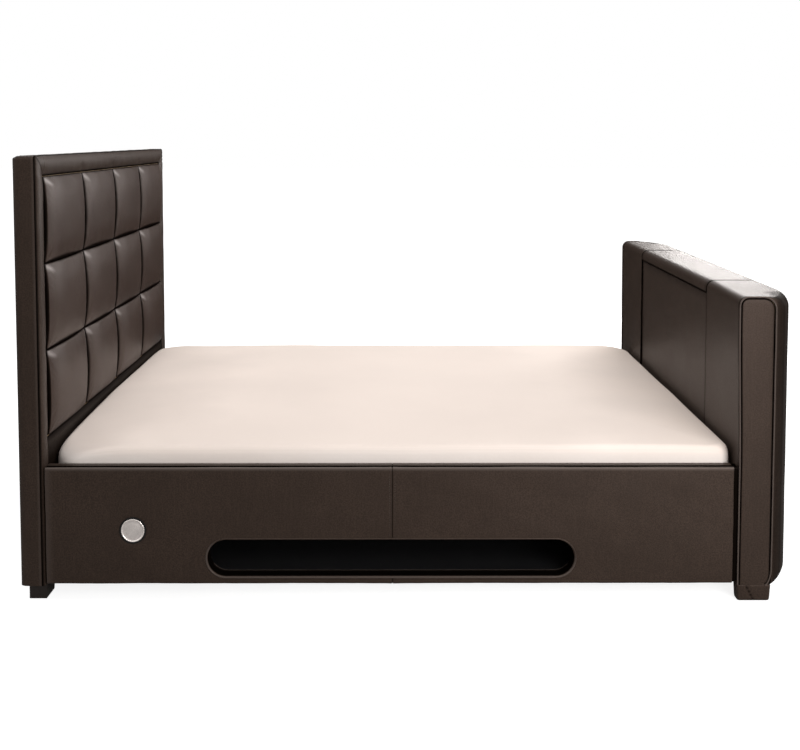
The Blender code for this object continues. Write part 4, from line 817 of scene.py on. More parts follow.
def pad_painted_shade(points, middle, first):
    """Painted shade in the folds: wide along a pad's near and lower edges and narrow along the
    other two.
    """
    near, far, below, above = pad_distances(points, middle)
    rise = np.clip(below / PAD_SIZE[1], 0, 1)
    along = np.clip(near / PAD_SIZE[0], 0, 1)
    gap = 0.0 if first else 0.3 + 0.7 * np.sin(math.pi * rise)
    fold = 0.004 + 0.014 * np.sin(math.pi * along ** 0.7)
    return 1 - np.minimum.reduce([
        ease(near, 0.002 + 0.005 * gap, 0.006 + 0.017 * gap), ease(far, 0.0010, 0.0070),
        ease(below, 0.45 * fold, fold), ease(above, 0.0012, 0.0040)])


def pad_painted_highlights(points, middle):
    """Painted highlights: a pale streak at the top near corner, a soft glow beside it, a faint line
    by the far edge.
    """
    near, far, _, above = pad_distances(points, middle)
    streak = dip(above - 0.007 - 0.40 * near, 0.008) * (1 - ease(near, 0.020, 0.070))
    glow = 0.13 * dip(near - 0.075, 0.045) * dip(above - 0.050, 0.055)
    rim = 0.34 * dip(far - 0.0140, 0.0060)
    return np.maximum.reduce([streak, glow, rim])


class BED_OT_pads(Operator):
    """Stuff the square pads of the headboard, three rows of four"""
    bl_idname = "bed.pads"
    bl_label = "Headboard Pads"

    def execute(self, context):
        sizes = context.scene.bed_sizes
        # The pads take the lit copy of the leather and a stronger lift for their painted
        # highlights.
        material = leather("pad_leather", context.scene.bed_colours.pad_leather, gloss=0.33,
                           grain=0.00045, painted_lift=0.16)
        points, faces = inflate(pad_start(), sizes.pad_voxel, PAD_PRESSURE, sizes.pad_swell,
                                pad_held)
        points[:, 0] = np.clip(points[:, 0], PAD_BACK_CLEARANCE, None)
        for row, (low, high) in enumerate(PAD_BOXES):
            for column in range(PAD_COLUMNS):
                middle = np.array([PAD_BACK_X, low.y + PAD_SIZE[0] * (column + 0.5),
                                   (low.z + high.z) / 2])
                shaped = crease_pad(points, 10 * row + column) + middle
                masks = {"seam": partial(pad_painted_shade, middle=middle, first=column == 0),
                         "worn": partial(pad_painted_highlights, middle=middle)}
                piece = place_piece(f"pad_{row + 1}_{column + 1}",
                                    clean_mesh("pad", shaped, faces), material,
                                    stands_for=[f"headboard_pads_{row + 1}"],
                                    masks=masks, sharp=70)
        self.backing(context.scene.bed_colours.leather)
        return {"FINISHED"}

    def backing(self, colour):
        """Dark sheet under the pads, seen only in the depth of the seams: painted shade."""
        low, high = PAD_BOXES[-1][0], PAD_BOXES[0][1]
        margin = BACKING_THICKNESS
        mesh = upright_sheet("backing", PAD_BACK_X + BACKING_OFFSET,
                             (low.y + margin, high.y - margin), (low.z + margin, high.z - margin),
                             BACKING_THICKNESS)
        place_piece("pad_backing", mesh, leather("plain_leather", colour),
                    masks={"seam": all_over(1.0)})


BORDER_GAP = 0.0003
BORDER_WIDTH = BORDER_HIGH.z - PAD_BOXES[0][1].z - BORDER_GAP
BORDER_CLEARANCE = 0.0018
BORDER_LIFT = 0.0016
PINCH_DEPTH = 0.0042
PINCH_REACH = 0.010
PINCH_WIDTH_SIDE = 0.020
PINCH_WIDTH_TOP = 0.024
LOWER_MARGIN = 0.001
LOWER_SKIN = 0.0022


def mirrored(lines):
    """The same lines across the bed, in reverse: each starts with two (y, z) pairs."""
    return [((-first[0], first[1]), (-second[0], second[1]), *rest)
            for first, second, *rest in reversed(lines)]


def border_profile(across):
    """Crown share across the border, from its outer seam to the pads."""
    return np.sin(np.pi * np.clip(across, 0, 1) ** 0.86) ** 0.62


def border_grid(depth):
    """Padded border up one side of the headboard, across the top and down the other."""
    inner_y = SIDE_Y - BORDER_WIDTH
    inner_z = BORDER_HIGH.z - BORDER_WIDTH
    pad_rows = [low.z for low, _ in PAD_BOXES] + [inner_z]
    pad_columns = list(np.linspace(-inner_y, inner_y, PAD_COLUMNS + 1))
    rises = spread(BORDER_LOW.z, inner_z, 0.012, pad_rows, 0.002, PINCH_REACH)
    spans = spread(-inner_y, inner_y, 0.012, pad_columns, 0.002, PINCH_REACH)
    mitre = np.linspace(0, 1, 7)[1:]
    leg = [((-SIDE_Y, z), (-inner_y, z), z, "side") for z in rises]
    leg += [((-SIDE_Y, inner_z + BORDER_WIDTH * share), (-inner_y, inner_z), share, "mitre")
            for share in mitre]
    leg += [((-SIDE_Y + BORDER_WIDTH * share, BORDER_HIGH.z), (-inner_y, inner_z), 1 - share,
             "mitre") for share in mitre[:-1]]
    top = [((y, BORDER_HIGH.z), (y, inner_z), y, "top") for y in spans]
    shares = np.concatenate([[0], 0.5 - 0.5 * np.cos(np.linspace(0.35, math.pi - 0.25, 17)), [1]])
    rows = []
    for outer, inner, along, stretch in leg + top + mirrored(leg):
        outer, inner = np.array(outer), np.array(inner)
        if stretch == "side":
            pinch = max(dip(along - z, PINCH_WIDTH_SIDE) for z in pad_rows)
        elif stretch == "top":
            pinch = max(dip(along - y, PINCH_WIDTH_TOP) for y in pad_columns)
        else:
            pinch = 1 - 0.2 * along
        row = [(PAD_BACK_X, *outer), (PAD_BACK_X, *(inner + (outer - inner) * 0.01))]
        for share in shares[::-1]:
            y, z = outer + (inner - outer) * share
            crown = depth * border_profile(share)
            crown -= PINCH_DEPTH * pinch * ease(share, 0.35, 1.0) * border_profile(share)
            if stretch == "mitre":
                crown *= 0.88 + 0.12 * math.cos(along * math.tau * 3)
            row.append((PAD_BACK_X + BORDER_LIFT + max(crown, 0), y, z))
        rows.append(row)
    grid = np.array(rows)
    lift = 0.0005 * wander(grid, 0.09, 5)
    grid[:, 2:, 0] += lift[:, 2:] * ease(grid[:, 2:, 0], PAD_BACK_X + 0.002, PAD_BACK_X + 0.006)
    return grid


def border_seams_and_shade(points):
    """Painted shade in the seam between the border and the band, in the mitres and by the pads."""
    across = np.minimum(SIDE_Y - np.abs(points[:, 1]), BORDER_HIGH.z - points[:, 2])
    mitre = dip(SIDE_Y - np.abs(points[:, 1]) - BORDER_HIGH.z + points[:, 2], 0.0024)
    return np.maximum.reduce([1 - ease(across, 0.0006, 0.0040), 0.75 * mitre,
                              ease(across, BORDER_WIDTH - 0.0085, BORDER_WIDTH - 0.0030)])


def lower_painted_shade(points):
    """Painted shade: the panel below the pads grows dark under them."""
    below = LOWER_HIGH.z - points[:, 2]
    return np.maximum(0.72 * ease(below, 0.004, 0.026), 1 - ease(below, 0.001, 0.006))


class BED_OT_border(Operator):
    """Roll the padded border round the pads and pad the panel below them"""
    bl_idname = "bed.border"
    bl_label = "Headboard Border"

    def execute(self, context):
        material = leather("plain_leather", context.scene.bed_colours.leather)
        depth = BORDER_HIGH.x - PAD_BACK_X - BORDER_CLEARANCE
        mesh = solid("border", border_grid(depth))
        place_piece("headboard_border_roll", mesh, material,
                    stands_for=["headboard_border"],
                    masks={"seam": border_seams_and_shade}, sharp=60)
        self.lower_panel(material)
        return {"FINISHED"}

    def lower_panel(self, material):
        """Plain padded panel between the pads and the floor."""
        y, z = np.meshgrid(spread(LOWER_LOW.y + LOWER_MARGIN, LOWER_HIGH.y - LOWER_MARGIN, 0.03),
                           spread(LOWER_LOW.z + LOWER_MARGIN, LOWER_HIGH.z - LOWER_MARGIN, 0.02))
        u = (y - LOWER_LOW.y) / (LOWER_HIGH.y - LOWER_LOW.y) * 2 - 1
        v = (z - LOWER_LOW.z) / (LOWER_HIGH.z - LOWER_LOW.z) * 2 - 1
        depth = (LOWER_HIGH.x - LOWER_LOW.x) * (0.25 + 0.75 * ((1 - u ** 16) * (1 - v ** 8)) ** 0.5)
        grid = np.stack([LOWER_LOW.x + depth, y, z], -1)
        grid[..., 0] += 0.0006 * wander(grid, 0.16, 8) * (1 - u ** 8) * (1 - v ** 8)
        mesh = shell("lower", grid, LOWER_SKIN, (LOWER_LOW.x - 1, 0, LOWER_LOW.z))
        piece = place_piece("headboard_lower_padding", mesh, material,
                            stands_for=["headboard_lower_panel"], masks={"seam": lower_painted_shade})


BAND_CORNER = 0.010
BAND_EDGE = 0.0040
BAND_SLACK = 0.0002
BAND_BACK_ROUND = 0.024
BAND_BACK_TURN = 0.013
BAND_WRAP = 0.045
BAND_SKIN = 0.00255
# Gathers in the band's leather at the top corners
PLEAT_PITCH = 0.0105
PLEAT_PLACE = 0.030
PLEAT_REACH = 0.021


def band_path():
    """(place in YZ, outward direction, distance from the nearer top corner) along the band."""
    top = BAND_HIGH.z
    rises = spread(BAND_LOW.z, top - BAND_CORNER, 0.030, [top - PLEAT_PLACE], 0.003, PLEAT_REACH)
    spans = spread(BAND_CORNER - SIDE_Y, SIDE_Y - BAND_CORNER, 0.035,
                   [PLEAT_PLACE - SIDE_Y, SIDE_Y - PLEAT_PLACE], 0.003, PLEAT_REACH)
    leg = [((-SIDE_Y, z), (-1, 0), top - z) for z in rises]
    for angle in np.radians(np.linspace(180, 90, 7)[1:-1]):
        y, z = math.cos(angle), math.sin(angle)
        leg.append(((BAND_CORNER * (1 + y) - SIDE_Y, top - BAND_CORNER * (1 - z)), (y, z), 0))
    return leg + [((y, top), (0, 1), SIDE_Y - abs(y)) for y in spans] + mirrored(leg)


def band_section():
    """(x, inset) points of the band, from its front seam over the edge to the back."""
    front, back = BAND_HIGH.x, BAND_LOW.x
    edge = BAND_EDGE + BAND_SLACK
    section = [(front - BAND_SLACK, edge + 0.0020), (front - 2 * BAND_SLACK, BAND_EDGE)]
    section += [(front - edge + BAND_EDGE * math.cos(angle), edge - BAND_EDGE * math.sin(angle))
                for angle in np.linspace(0.15, math.pi / 2, 6)]
    section += [(front - edge + (back + BAND_BACK_ROUND - front + edge) * share,
                 BAND_SLACK * (1 - math.sin(math.pi * share)))
                for share in np.linspace(0, 1, 12)[1:-1]]
    section += [(back + BAND_BACK_ROUND * (1 - math.sin(angle)),
                 BAND_BACK_TURN * (1 - math.cos(angle)))
                for angle in np.linspace(0, math.pi / 2, 9)]
    section += [(back, BAND_BACK_TURN + (BAND_WRAP - BAND_BACK_TURN) * share)
                for share in (0.35, 0.7, 0.94)]
    section += [(back + 0.001, BAND_WRAP), (back + 0.004, BAND_WRAP + 0.0002)]
    return section


def band_point(place, direction, x, inset):
    """Point of the band, carried inward by its inset and mitred at the top corners."""
    y, z = np.array(place) - np.array(direction) * inset
    if inset > BAND_CORNER - TIGHT:
        z = min(z, BAND_HIGH.z - inset)
        y = max(inset - SIDE_Y, min(SIDE_Y - inset, y))
        if abs(direction[0]) > 1e-9 and abs(direction[1]) > 1e-9:
            y, z = np.sign(direction[0]) * (SIDE_Y - inset), BAND_HIGH.z - inset
    return x, y, z


def band_grid():
    """The band's outer surface, with gathers and a slight hollow at the top corners."""
    section = band_section()
    path = band_path()
    grid = np.array([[band_point(place, direction, x, inset) for x, inset in section]
                     for place, direction, _ in path])
    outward = np.array([[(0, *direction)] * len(section) for _, direction, _ in path])
    distance = np.array([[away] * len(section) for _, _, away in path])
    x = grid[..., 0]
    face = ease(np.array([inset for _, inset in section]), 0.010, 0.004)[None, :]
    pleat = np.sin((x - BAND_LOW.x) * math.tau / PLEAT_PITCH) * dip(distance - 0.006, 0.016)
    hollow = dip(distance - 0.001, 0.004)
    amount = face * (0.00075 * pleat - 0.0011 * hollow + 0.0005 * wander(grid, 0.10, 3) - 0.0005)
    return grid + outward * amount[..., None]


def band_seams_and_shade(points):
    """Painted shade in the seam along the front of the band and in the folds at its top corners."""
    front = 1 - ease(BAND_HIGH.x - points[:, 0], 0.0004, 0.0030)
    across, down = SIDE_Y - np.abs(points[:, 1]), BAND_HIGH.z - points[:, 2]
    fold = dip(across - down, 0.0025) * (np.minimum(across, down) < 0.012)
    return np.maximum(front, 0.6 * fold)


def band_painted_highlight(points):
    """Painted highlight: a pale line along the band's front edge."""
    return 0.35 * dip(BAND_HIGH.x - points[:, 0] - 0.0055, 0.0022)


class BED_OT_band(Operator):
    """Wrap the leather band round the sides, the top and the rim of the back"""
    bl_idname = "bed.band"
    bl_label = "Headboard Band"

    def execute(self, context):
        material = leather("plain_leather", context.scene.bed_colours.leather)
        inside = ((BAND_LOW.x + BAND_HIGH.x) / 2, 0, BAND_LOW.z)
        mesh = shell("band", band_grid(), BAND_SKIN, inside)
        place_piece("headboard_band_leather", mesh, material,
                    stands_for=["headboard_side_band"],
                    masks={"seam": band_seams_and_shade, "worn": band_painted_highlight}, sharp=60)
        return {"FINISHED"}


# Side rails

RAIL_SEAM_X = -0.046
RAIL_EDGE = 0.0060
RAIL_RIDGE = 0.0045
RAIL_BASE_ROUND = 0.006
RAIL_TOP_ROUND = 0.003
RAIL_INNER_DROP = 0.155
RAIL_SKIN = 0.0020
RAIL_END_ROUND = 0.0026
RAIL_CLEARANCE = 0.0003
# Inset of the hidden leather that runs on to the footboard
RAIL_TAIL_INSET = 0.0056
GROOVE_DEPTH = 0.0058
GROOVE_WIDTH = 0.0075
GROOVE_FRONT_Y = SIDE_Y - RAIL_EDGE - RAIL_RIDGE
GROOVE_BACK_Y = GROOVE_FRONT_Y - GROOVE_WIDTH
SLOT_INSET = 0.056
SLOT_LOW = (SHELF_LOW.x + SLOT_INSET, 0.0796)
SLOT_HIGH = (SHELF_HIGH.x - SLOT_INSET, 0.1884)
SLOT_CUT = 0.0046
STITCH_SPREAD = 0.0078
STITCH_GROOVE = 0.0012
STITCH_RADIUS = 0.0006
DISC_HOLLOW = 0.0020


def rail_path():
    """(y outward, z) points of a rail's leather: up inside, over, down the face and under."""
    outer, inner, low, high = SIDE_Y, -RAIL_HIGH.y, RAIL_LOW.z, RAIL_HIGH.z
    base, top = RAIL_BASE_ROUND, RAIL_TOP_ROUND
    path = [(outer - 0.020, low + 0.0022), (outer - 2 * base, low + 0.0004)]
    path += bend((outer - base, low + base), base, -90, 0, 5)
    marks = [SLOT_LOW[1], SLOT_HIGH[1], DISC_Z]
    path += [(outer, z) for z in spread(low + 2 * base, high - RAIL_EDGE - 0.006, 0.018, marks,
                                        0.004, 0.012)]
    path += bend((outer - RAIL_EDGE, high - RAIL_EDGE), RAIL_EDGE, 0, 90, 7)
    path += bend((outer - RAIL_EDGE - 0.001, high - top), top, 90, 180, 4)
    path += [(GROOVE_FRONT_Y, high - GROOVE_DEPTH), (GROOVE_BACK_Y, high - GROOVE_DEPTH)]
    path += bend((GROOVE_BACK_Y - 0.0032, high - 0.0042), top, 0, 90, 4)
    path += line((GROOVE_BACK_Y - 0.0040, high - 0.0012), (inner + 0.004, high - 0.0006), 5)
    path += bend((inner + top, high - top - 0.0006), top, 90, 180, 4)
    path += line((inner, high - top - 0.0006), (inner, high - RAIL_INNER_DROP), 7)
    return np.array(path[::-1])


def rail_grid(side):
    """A rail's leather from the headboard to its end, and on under the footboard's cover."""
    board_end = FOOT_FACE_X - 2 * RAIL_CLEARANCE
    marks = (RAIL_SEAM_X, DISC_X) if side < 0 else (RAIL_SEAM_X,)
    pairs = stations(RAIL_LOW.x, RAIL_HIGH.x, 0.020, RAIL_END_ROUND, RAIL_END_ROUND, marks)
    pairs += [(RAIL_HIGH.x + (board_end - RAIL_HIGH.x) * share, RAIL_TAIL_INSET)
              for share in (0.05, 0.5, 1.0)]
    grid = sweep(rail_path(), pairs, lambda x, point: (x, side * point[0], point[1]))
    x, y, z = grid[..., 0], np.abs(grid[..., 1]), grid[..., 2]
    tail = x > RAIL_HIGH.x
    inner = tail & (y < -(BOARD_LOW.y + BOARD_HIGH.y) / 2)
    grid[..., 1] = side * np.where(inner, np.minimum(y, -BOARD_HIGH.y - RAIL_CLEARANCE), y)
    top = tail & (z > BOARD_HIGH.z - 0.012)
    grid[..., 2] = np.where(top, np.maximum(z, BOARD_HIGH.z + RAIL_CLEARANCE), z)
    return grid


def rail_relief(grid, side, depth, width):
    """Seam in the middle, the stitch rows beside it, soft waves and a hollow for the disc."""
    x, y, z = grid[..., 0], grid[..., 1], grid[..., 2]
    outward = outward_normals(grid, (0, side * (SIDE_Y - 0.03), 0.2))
    face = ease(np.abs(y), SIDE_Y - 0.012, SIDE_Y - 0.004)
    lip = ease(z, RAIL_HIGH.z - 0.012, RAIL_HIGH.z)
    away = np.abs(x - RAIL_SEAM_X)
    amount = -depth * dip(away, width)
    amount += -STITCH_GROOVE * dip(away - STITCH_SPREAD, 0.0015)
    amount += 0.0004 * ease(STITCH_SPREAD - away, 0, 0.002)
    amount = amount * np.maximum(face, lip)
    amount += (0.0005 * wander(grid, 0.16, 21) + 0.0003 * wander(grid, 0.05, 22) - 0.0006) * face
    if side < 0:
        reach = np.hypot(x - DISC_X, z - DISC_Z)
        amount -= DISC_HOLLOW * (1 - ease(reach, 0.036, 0.050)) * face
    return grid + outward * amount[..., None]


def stadium_line(offset):
    """(x, z) points round the slot, moved outward by the offset."""
    centre_z = (SLOT_LOW[1] + SLOT_HIGH[1]) / 2
    radius = (SLOT_HIGH[1] - SLOT_LOW[1]) / 2
    left, right = SLOT_LOW[0] + radius, SLOT_HIGH[0] - radius
    straight = np.linspace(left, right, 60)
    points = [(x, centre_z - radius - offset) for x in straight]
    points += bend((right, centre_z), radius + offset, -90, 90, 26)[1:-1]
    points += [(x, centre_z + radius + offset) for x in straight[::-1]]
    points += bend((left, centre_z), radius + offset, 90, 270, 26)[1:-1]
    return points


def cut(piece_mesh, cutter_mesh):
    """Cut one closed mesh out of another."""
    scene = bpy.context.scene
    piece = bpy.data.objects.new("cut", piece_mesh)
    cutter = bpy.data.objects.new("cutter", cutter_mesh)
    scene.collection.objects.link(piece)
    scene.collection.objects.link(cutter)
    modifier = piece.modifiers.new("cut", "BOOLEAN")
    modifier.object = cutter
    modifier.solver = "EXACT"
    depsgraph = bpy.context.evaluated_depsgraph_get()
    result = bpy.data.meshes.new_from_object(piece.evaluated_get(depsgraph))
    bpy.data.objects.remove(piece)
    bpy.data.objects.remove(cutter)
    return result


def rail_seams_and_shade(points):
    """Painted shade: a dark groove along the top, dark sewn lines on the face and dark ends against
    other pieces.
    """
    x, y, z = points[:, 0], np.abs(points[:, 1]), points[:, 2]
    top = (ease(y, GROOVE_BACK_Y - 0.0070, GROOVE_BACK_Y - 0.0050)
           * (1 - ease(y, SIDE_Y - 0.0066, SIDE_Y - 0.0052)) * (z > RAIL_HIGH.z - 0.02))
    ends = np.maximum(ease(x - RAIL_HIGH.x, -0.0006, 0.0002), ease(RAIL_LOW.x - x, -0.0006, 0.0002))
    away = np.abs(x - RAIL_SEAM_X)
    sewn = np.maximum(0.70 * dip(away, 0.0019), 0.45 * dip(away - STITCH_SPREAD, 0.0016))
    return np.maximum.reduce([top, sewn, ends])


def rail_painted_highlights(points):
    """Painted highlight along the rail's top edge and a fainter one up its head end."""
    x, y, z = points[:, 0], np.abs(points[:, 1]), points[:, 2]
    edge = dip(np.hypot(y - (SIDE_Y - 0.0022), z - (RAIL_HIGH.z - 0.0022)), 0.0045)
    end = dip(x - RAIL_LOW.x - 0.0035, 0.0030) * (y > SIDE_Y - 0.004)
    return np.maximum(edge, 0.35 * end)


# (distance out from the slot, depth behind the rail's face) round the section of its lining
SLOT_LINING = ((0.0068, 0.0012), (0.0064, -0.0002), (0.0054, -0.0013), (0.0040, -0.0018),
               (0.0026, -0.0014), (0.0012, 0.0001), (0.0004, 0.0020), (0.0000, 0.0045),
               (0.0000, 0.0120), (0.0000, 0.0220), (0.0000, 0.0320), (0.0000, 0.0400),
               (-0.0004, 0.0425), (-0.0008, 0.0440), (-0.0004, 0.0454), (0.0012, 0.0460),
               (0.0030, 0.0456), (0.0043, 0.0440), (0.0044, 0.0300), (0.0044, 0.0110),
               (0.0050, 0.0050))
LINING_LIP_DEPTH = 0.0445
LINING_LIP_TOP = 0.10


def lining_painted_shade(points):
    """Painted shade inside the lining, but for its back lip where that shows low in the slot."""
    depth, z = points[:, 1] + SIDE_Y, points[:, 2]
    lip = dip(depth - LINING_LIP_DEPTH, 0.0036) * (z < LINING_LIP_TOP)
    return ease(depth, 0.0010, 0.0050) * (1 - lip)


def lining_painted_highlights(points):
    """Painted highlights: a pale rim along the bottom of the slot and round its head end, and the
    pale back lip.
    """
    x, depth, z = points[:, 0], points[:, 1] + SIDE_Y, points[:, 2]
    low = 1 - ease(z, 0.10, 0.16)
    head = 1 - ease(x, SLOT_LOW[0], SLOT_LOW[0] + 0.03)
    lip = dip(depth - LINING_LIP_DEPTH, 0.0030) * (z < LINING_LIP_TOP)
    return 0.60 * dip(depth + 0.0012, 0.0022) * np.maximum(low, head) + lip


class BED_OT_rails(Operator):
    """Cover both side rails in leather, with the slot and its lining in the near one"""
    bl_idname = "bed.rails"
    bl_label = "Side Rails"

    def execute(self, context):
        sizes = context.scene.bed_sizes
        colours = context.scene.bed_colours
        material = leather("plain_leather", colours.leather)
        cotton = thread("sewing_thread", colours.thread)
        for side, label in SIDES:
            grid = rail_relief(rail_grid(side), side, sizes.seam_depth, sizes.seam_width)
            mesh = shell("rail", grid, RAIL_SKIN, (0, side * (SIDE_Y - 0.03), 0.2))
            if side < 0:
                cutter = np.array([[(x, y, z) for x, z in stadium_line(SLOT_CUT)]
                                   for y in (-SIDE_Y - 0.01, -SIDE_Y + 0.012)])
                mesh = cut(mesh, solid("slot_cutter", cutter))
            place_piece(f"rail_leather_{label}", mesh, material,
                        stands_for=[f"rail_cover_{label}"],
                        masks={"seam": rail_seams_and_shade, "worn": rail_painted_highlights}, sharp=40)
            self.sew(side, label, sizes, cotton)
        self.line_slot(material)
        return {"FINISHED"}

    def sew(self, side, label, sizes, material):
        """Two rows of stitches beside the middle seam."""
        y = side * (SIDE_Y - STITCH_RADIUS)
        rows = [((RAIL_SEAM_X + offset, y, RAIL_LOW.z + 0.010),
                 (RAIL_SEAM_X + offset, y, RAIL_HIGH.z - 0.012))
                for offset in (-STITCH_SPREAD, STITCH_SPREAD)]

        def in_slot(middle):
            return side < 0 and SLOT_LOW[1] - 0.010 < middle[2] < SLOT_HIGH[1] + 0.010

        mesh = stitches("stitches", rows, (0, side, 0), sizes.stitch_length,
                        sizes.stitch_pitch, STITCH_RADIUS, in_slot)
        place_piece(f"rail_stitches_{label}", mesh, material, sharp=80)

    def line_slot(self, material):
        """Leather rolled round the slot's edge and turned in over the board."""
        grid = np.array([[(x, depth - SIDE_Y, z) for x, z in stadium_line(offset)]
                         for offset, depth in SLOT_LINING])
        place_piece("slot_lining", hoop("slot", grid.transpose(1, 0, 2)), material,
                    masks={"worn": lining_painted_highlights, "seam": lining_painted_shade},
                    sharp=70)


DISC_FACE_Y = -SIDE_Y - 0.0002
DISC_CENTRE_RADIUS = 0.0002
# (distance in from the disc's edge, depth behind its face plane) from the back to the face
DISC_RIM = ((0.0010, 0.0026), (0.0, 0.0020), (0.0, 0.0), (0.0004, -0.0010), (0.0012, -0.0015),
            (0.0026, -0.0016), (0.0036, -0.0012), (0.0042, -0.0005), (0.0048, -0.0003),
            (0.0110, -0.0006))
# (distance out from the disc's edge, depth behind its face plane) round the section of the black
# ring that stands for the shade round the disc
DISC_SHADE_RING = ((0.0002, 0.0020), (0.0002, -0.0012), (0.0012, -0.0022), (0.0032, -0.0022),
               (0.0044, -0.0012), (0.0046, 0.0020))


def turned(profile):
    """Rings of points round the middle of the disc, one for each (radius, depth)."""
    return np.array([[(DISC_X + radius * math.cos(angle), DISC_FACE_Y + depth,
                       DISC_Z + radius * math.sin(angle)) for angle in round_angles(96)]
                     for radius, depth in profile])


class BED_OT_disc(Operator):
    """Turn the plain round metal disc of the near rail and lay a black ring round it as painted
    shade
    """
    bl_idname = "bed.disc"
    bl_label = "Rail Disc"

    def execute(self, context):
        profile = [(DISC_CENTRE_RADIUS, 0.0026)]
        profile += [(DISC_RADIUS - inset, depth) for inset, depth in DISC_RIM]
        profile += [(DISC_RADIUS * 0.4, -0.0009), (DISC_CENTRE_RADIUS, -0.0010)]
        place_piece("rail_disc_face", solid("disc", turned(profile)),
                    self.brushed(context.scene.bed_colours.disc),
                    stands_for=["rail_disc"], sharp=60)
        section = turned([(DISC_RADIUS + out, depth) for out, depth in DISC_SHADE_RING])
        place_piece("rail_disc_gasket", hoop("gasket", section.transpose(1, 0, 2)),
                    moulded("moulded_black", (0.004, 0.0035, 0.003), 0.9),
                    sharp=60)
        return {"FINISHED"}

    def brushed(self, colour):
        """Metal turned on a lathe: fine rings on the face and a smoother rim, made paler as a
        painted highlight.
        """
        material, f = new_finish("turned_metal")
        if not f:
            return material
        away = f.vector("SUBTRACT", f.place(), (DISC_X, 0, DISC_Z))
        reach = f.length(f.vector("MULTIPLY", away, (1, 0, 1)))
        rings = f.number("SINE", reach * 9000)
        scratch = f.noise(f.place(), 300.0, 4.0)
        rim = f.between(reach, DISC_RADIUS - 0.0050, DISC_RADIUS - 0.0040)
        # Painted highlight: the rim's colour is made paler.
        tone = f.mix(rim, colour, shade(colour, 1.45))
        tone = f.mix(scratch * 0.18, tone, shade(colour, 0.7))
        f.surface({"Base Color": tone, "Metallic": 0.85,
                   "Roughness": 0.40 - rim * 0.14 + (scratch - 0.5) * 0.12,
                   "Normal": f.bump(rings * 0.5 + scratch * 0.5, 0.00008)})
        return material


# Mattress

MATTRESS_ROLL = 0.024
MATTRESS_TOP_Z = BED_HIGH.z - 0.012
HEAD_SPILL = 0.0245
FOOT_SPILL = 0.0185
# sign along X, sign across Y: radius at the side, growth towards the top
MATTRESS_CORNERS = {(1, 1): (0.130, 0.6), (-1, 1): (0.110, 0.6),
                    (-1, -1): (0.088, 2.8), (1, -1): (0.042, 0.6)}
MATTRESS_SPACES = (34, 26, 34, 26)
# (share of the side's height, share of the roll) up the side
MATTRESS_SIDE = ((0, 0.60), (0.01, 0.36), (0.03, 0.17), (0.06, 0.06), (0.12, 0.01), (0.30, 0),
                 (0.50, 0), (0.70, 0), (0.80, 0.006), (0.86, 0.03), (0.90, 0.085), (0.935, 0.18),
                 (0.962, 0.31), (0.980, 0.46), (0.991, 0.63), (0.998, 0.82), (1, 1))
# shares of the way from the rolled edge to the middle of the top
MATTRESS_TOP = (0.04, 0.09, 0.15, 0.23, 0.32, 0.42, 0.52, 0.62, 0.72, 0.82, 0.91, 0.97)


def mattress_outline(inset):
    """(x, y) points round the mattress, its corners rounded each in its own way."""
    half_x = (BED_HIGH.x - BED_LOW.x + HEAD_SPILL + FOOT_SPILL) / 2 - inset
    half_y = (BED_HIGH.y - BED_LOW.y) / 2 - inset
    corners = []
    for quarter, signs in enumerate(QUARTERS):
        side, growth = MATTRESS_CORNERS[signs]
        radius = max(side - inset + growth * min(inset, MATTRESS_ROLL) * 2, 0.006)
        centre = (signs[0] * (half_x - radius), signs[1] * (half_y - radius))
        corners.append(bend(centre, radius, 90 * quarter, 90 * quarter + 90, 14))
    middle = (BED_HIGH + BED_LOW) / 2
    shift = (FOOT_SPILL - HEAD_SPILL) / 2
    return [(middle.x + shift + x, middle.y + y)
            for x, y in rounded_ring(corners, MATTRESS_SPACES)]


def mattress_grid(crown):
    """Rings up the side and over the top, softly uneven and sunk at the near head corner."""
    bottom, top = BED_LOW.z, MATTRESS_TOP_Z
    height = top - bottom
    span = (BED_HIGH.y - BED_LOW.y) / 2 - MATTRESS_ROLL
    levels = [(bottom + height * share, MATTRESS_ROLL * roll) for share, roll in MATTRESS_SIDE]
    levels += [(top + crown * math.sin(math.pi / 2 * share ** 0.6), MATTRESS_ROLL + span * share)
               for share in MATTRESS_TOP]
    grid = np.array([[(x, y, z) for x, y in mattress_outline(inset)] for z, inset in levels])
    lift = 0.0014 * wander(grid, 0.55, 31) + 0.0007 * wander(grid, 0.22, 32)
    near_corner = np.hypot(grid[..., 0] - BED_LOW.x, (grid[..., 1] - BED_LOW.y) * 0.7)
    lift -= 0.021 * dip(near_corner, 0.12)
    lift += (0.009 * dip(grid[..., 0] - BED_LOW.x - 0.02, 0.17) * ease(grid[..., 1], -0.55, 0.0)
             * (1 - ease(grid[..., 1], 0.50, 0.74)))
    grid[..., 2] += lift * ease(grid[..., 2], bottom + 0.4 * height, top)
    return grid


class BED_OT_mattress(Operator):
    """Lay the mattress on the slats"""
    bl_idname = "bed.mattress"
    bl_label = "Mattress"

    def execute(self, context):
        material = ticking("mattress_cloth", context.scene.bed_colours.ticking)
        grid = mattress_grid(context.scene.bed_sizes.mattress_crown)
        piece = place_piece("mattress_form", solid("mattress", grid), material,
                            stands_for=["mattress"], sharp=70)
        return {"FINISHED"}


# Footboard

END_WIDTH = 0.100
END_FRONT_X = FOOT_FACE_X + END_WIDTH
CORNER_LENGTH = 0.140
INNER_ROUND = 0.026
OUTER_ROUND = 0.019
OUTER_ROUND_END = 0.037
TUCK = (0.045, 0.050)
TUCK_POWER = 1.15
END_TUCK = 0.018
TUCK_LIP = 0.002
END_EDGE = 0.0030
END_GAP = 0.0003
WELT_INSET = 0.0006
PANEL_INSET = 0.0046
PANEL_DROP = 0.0006
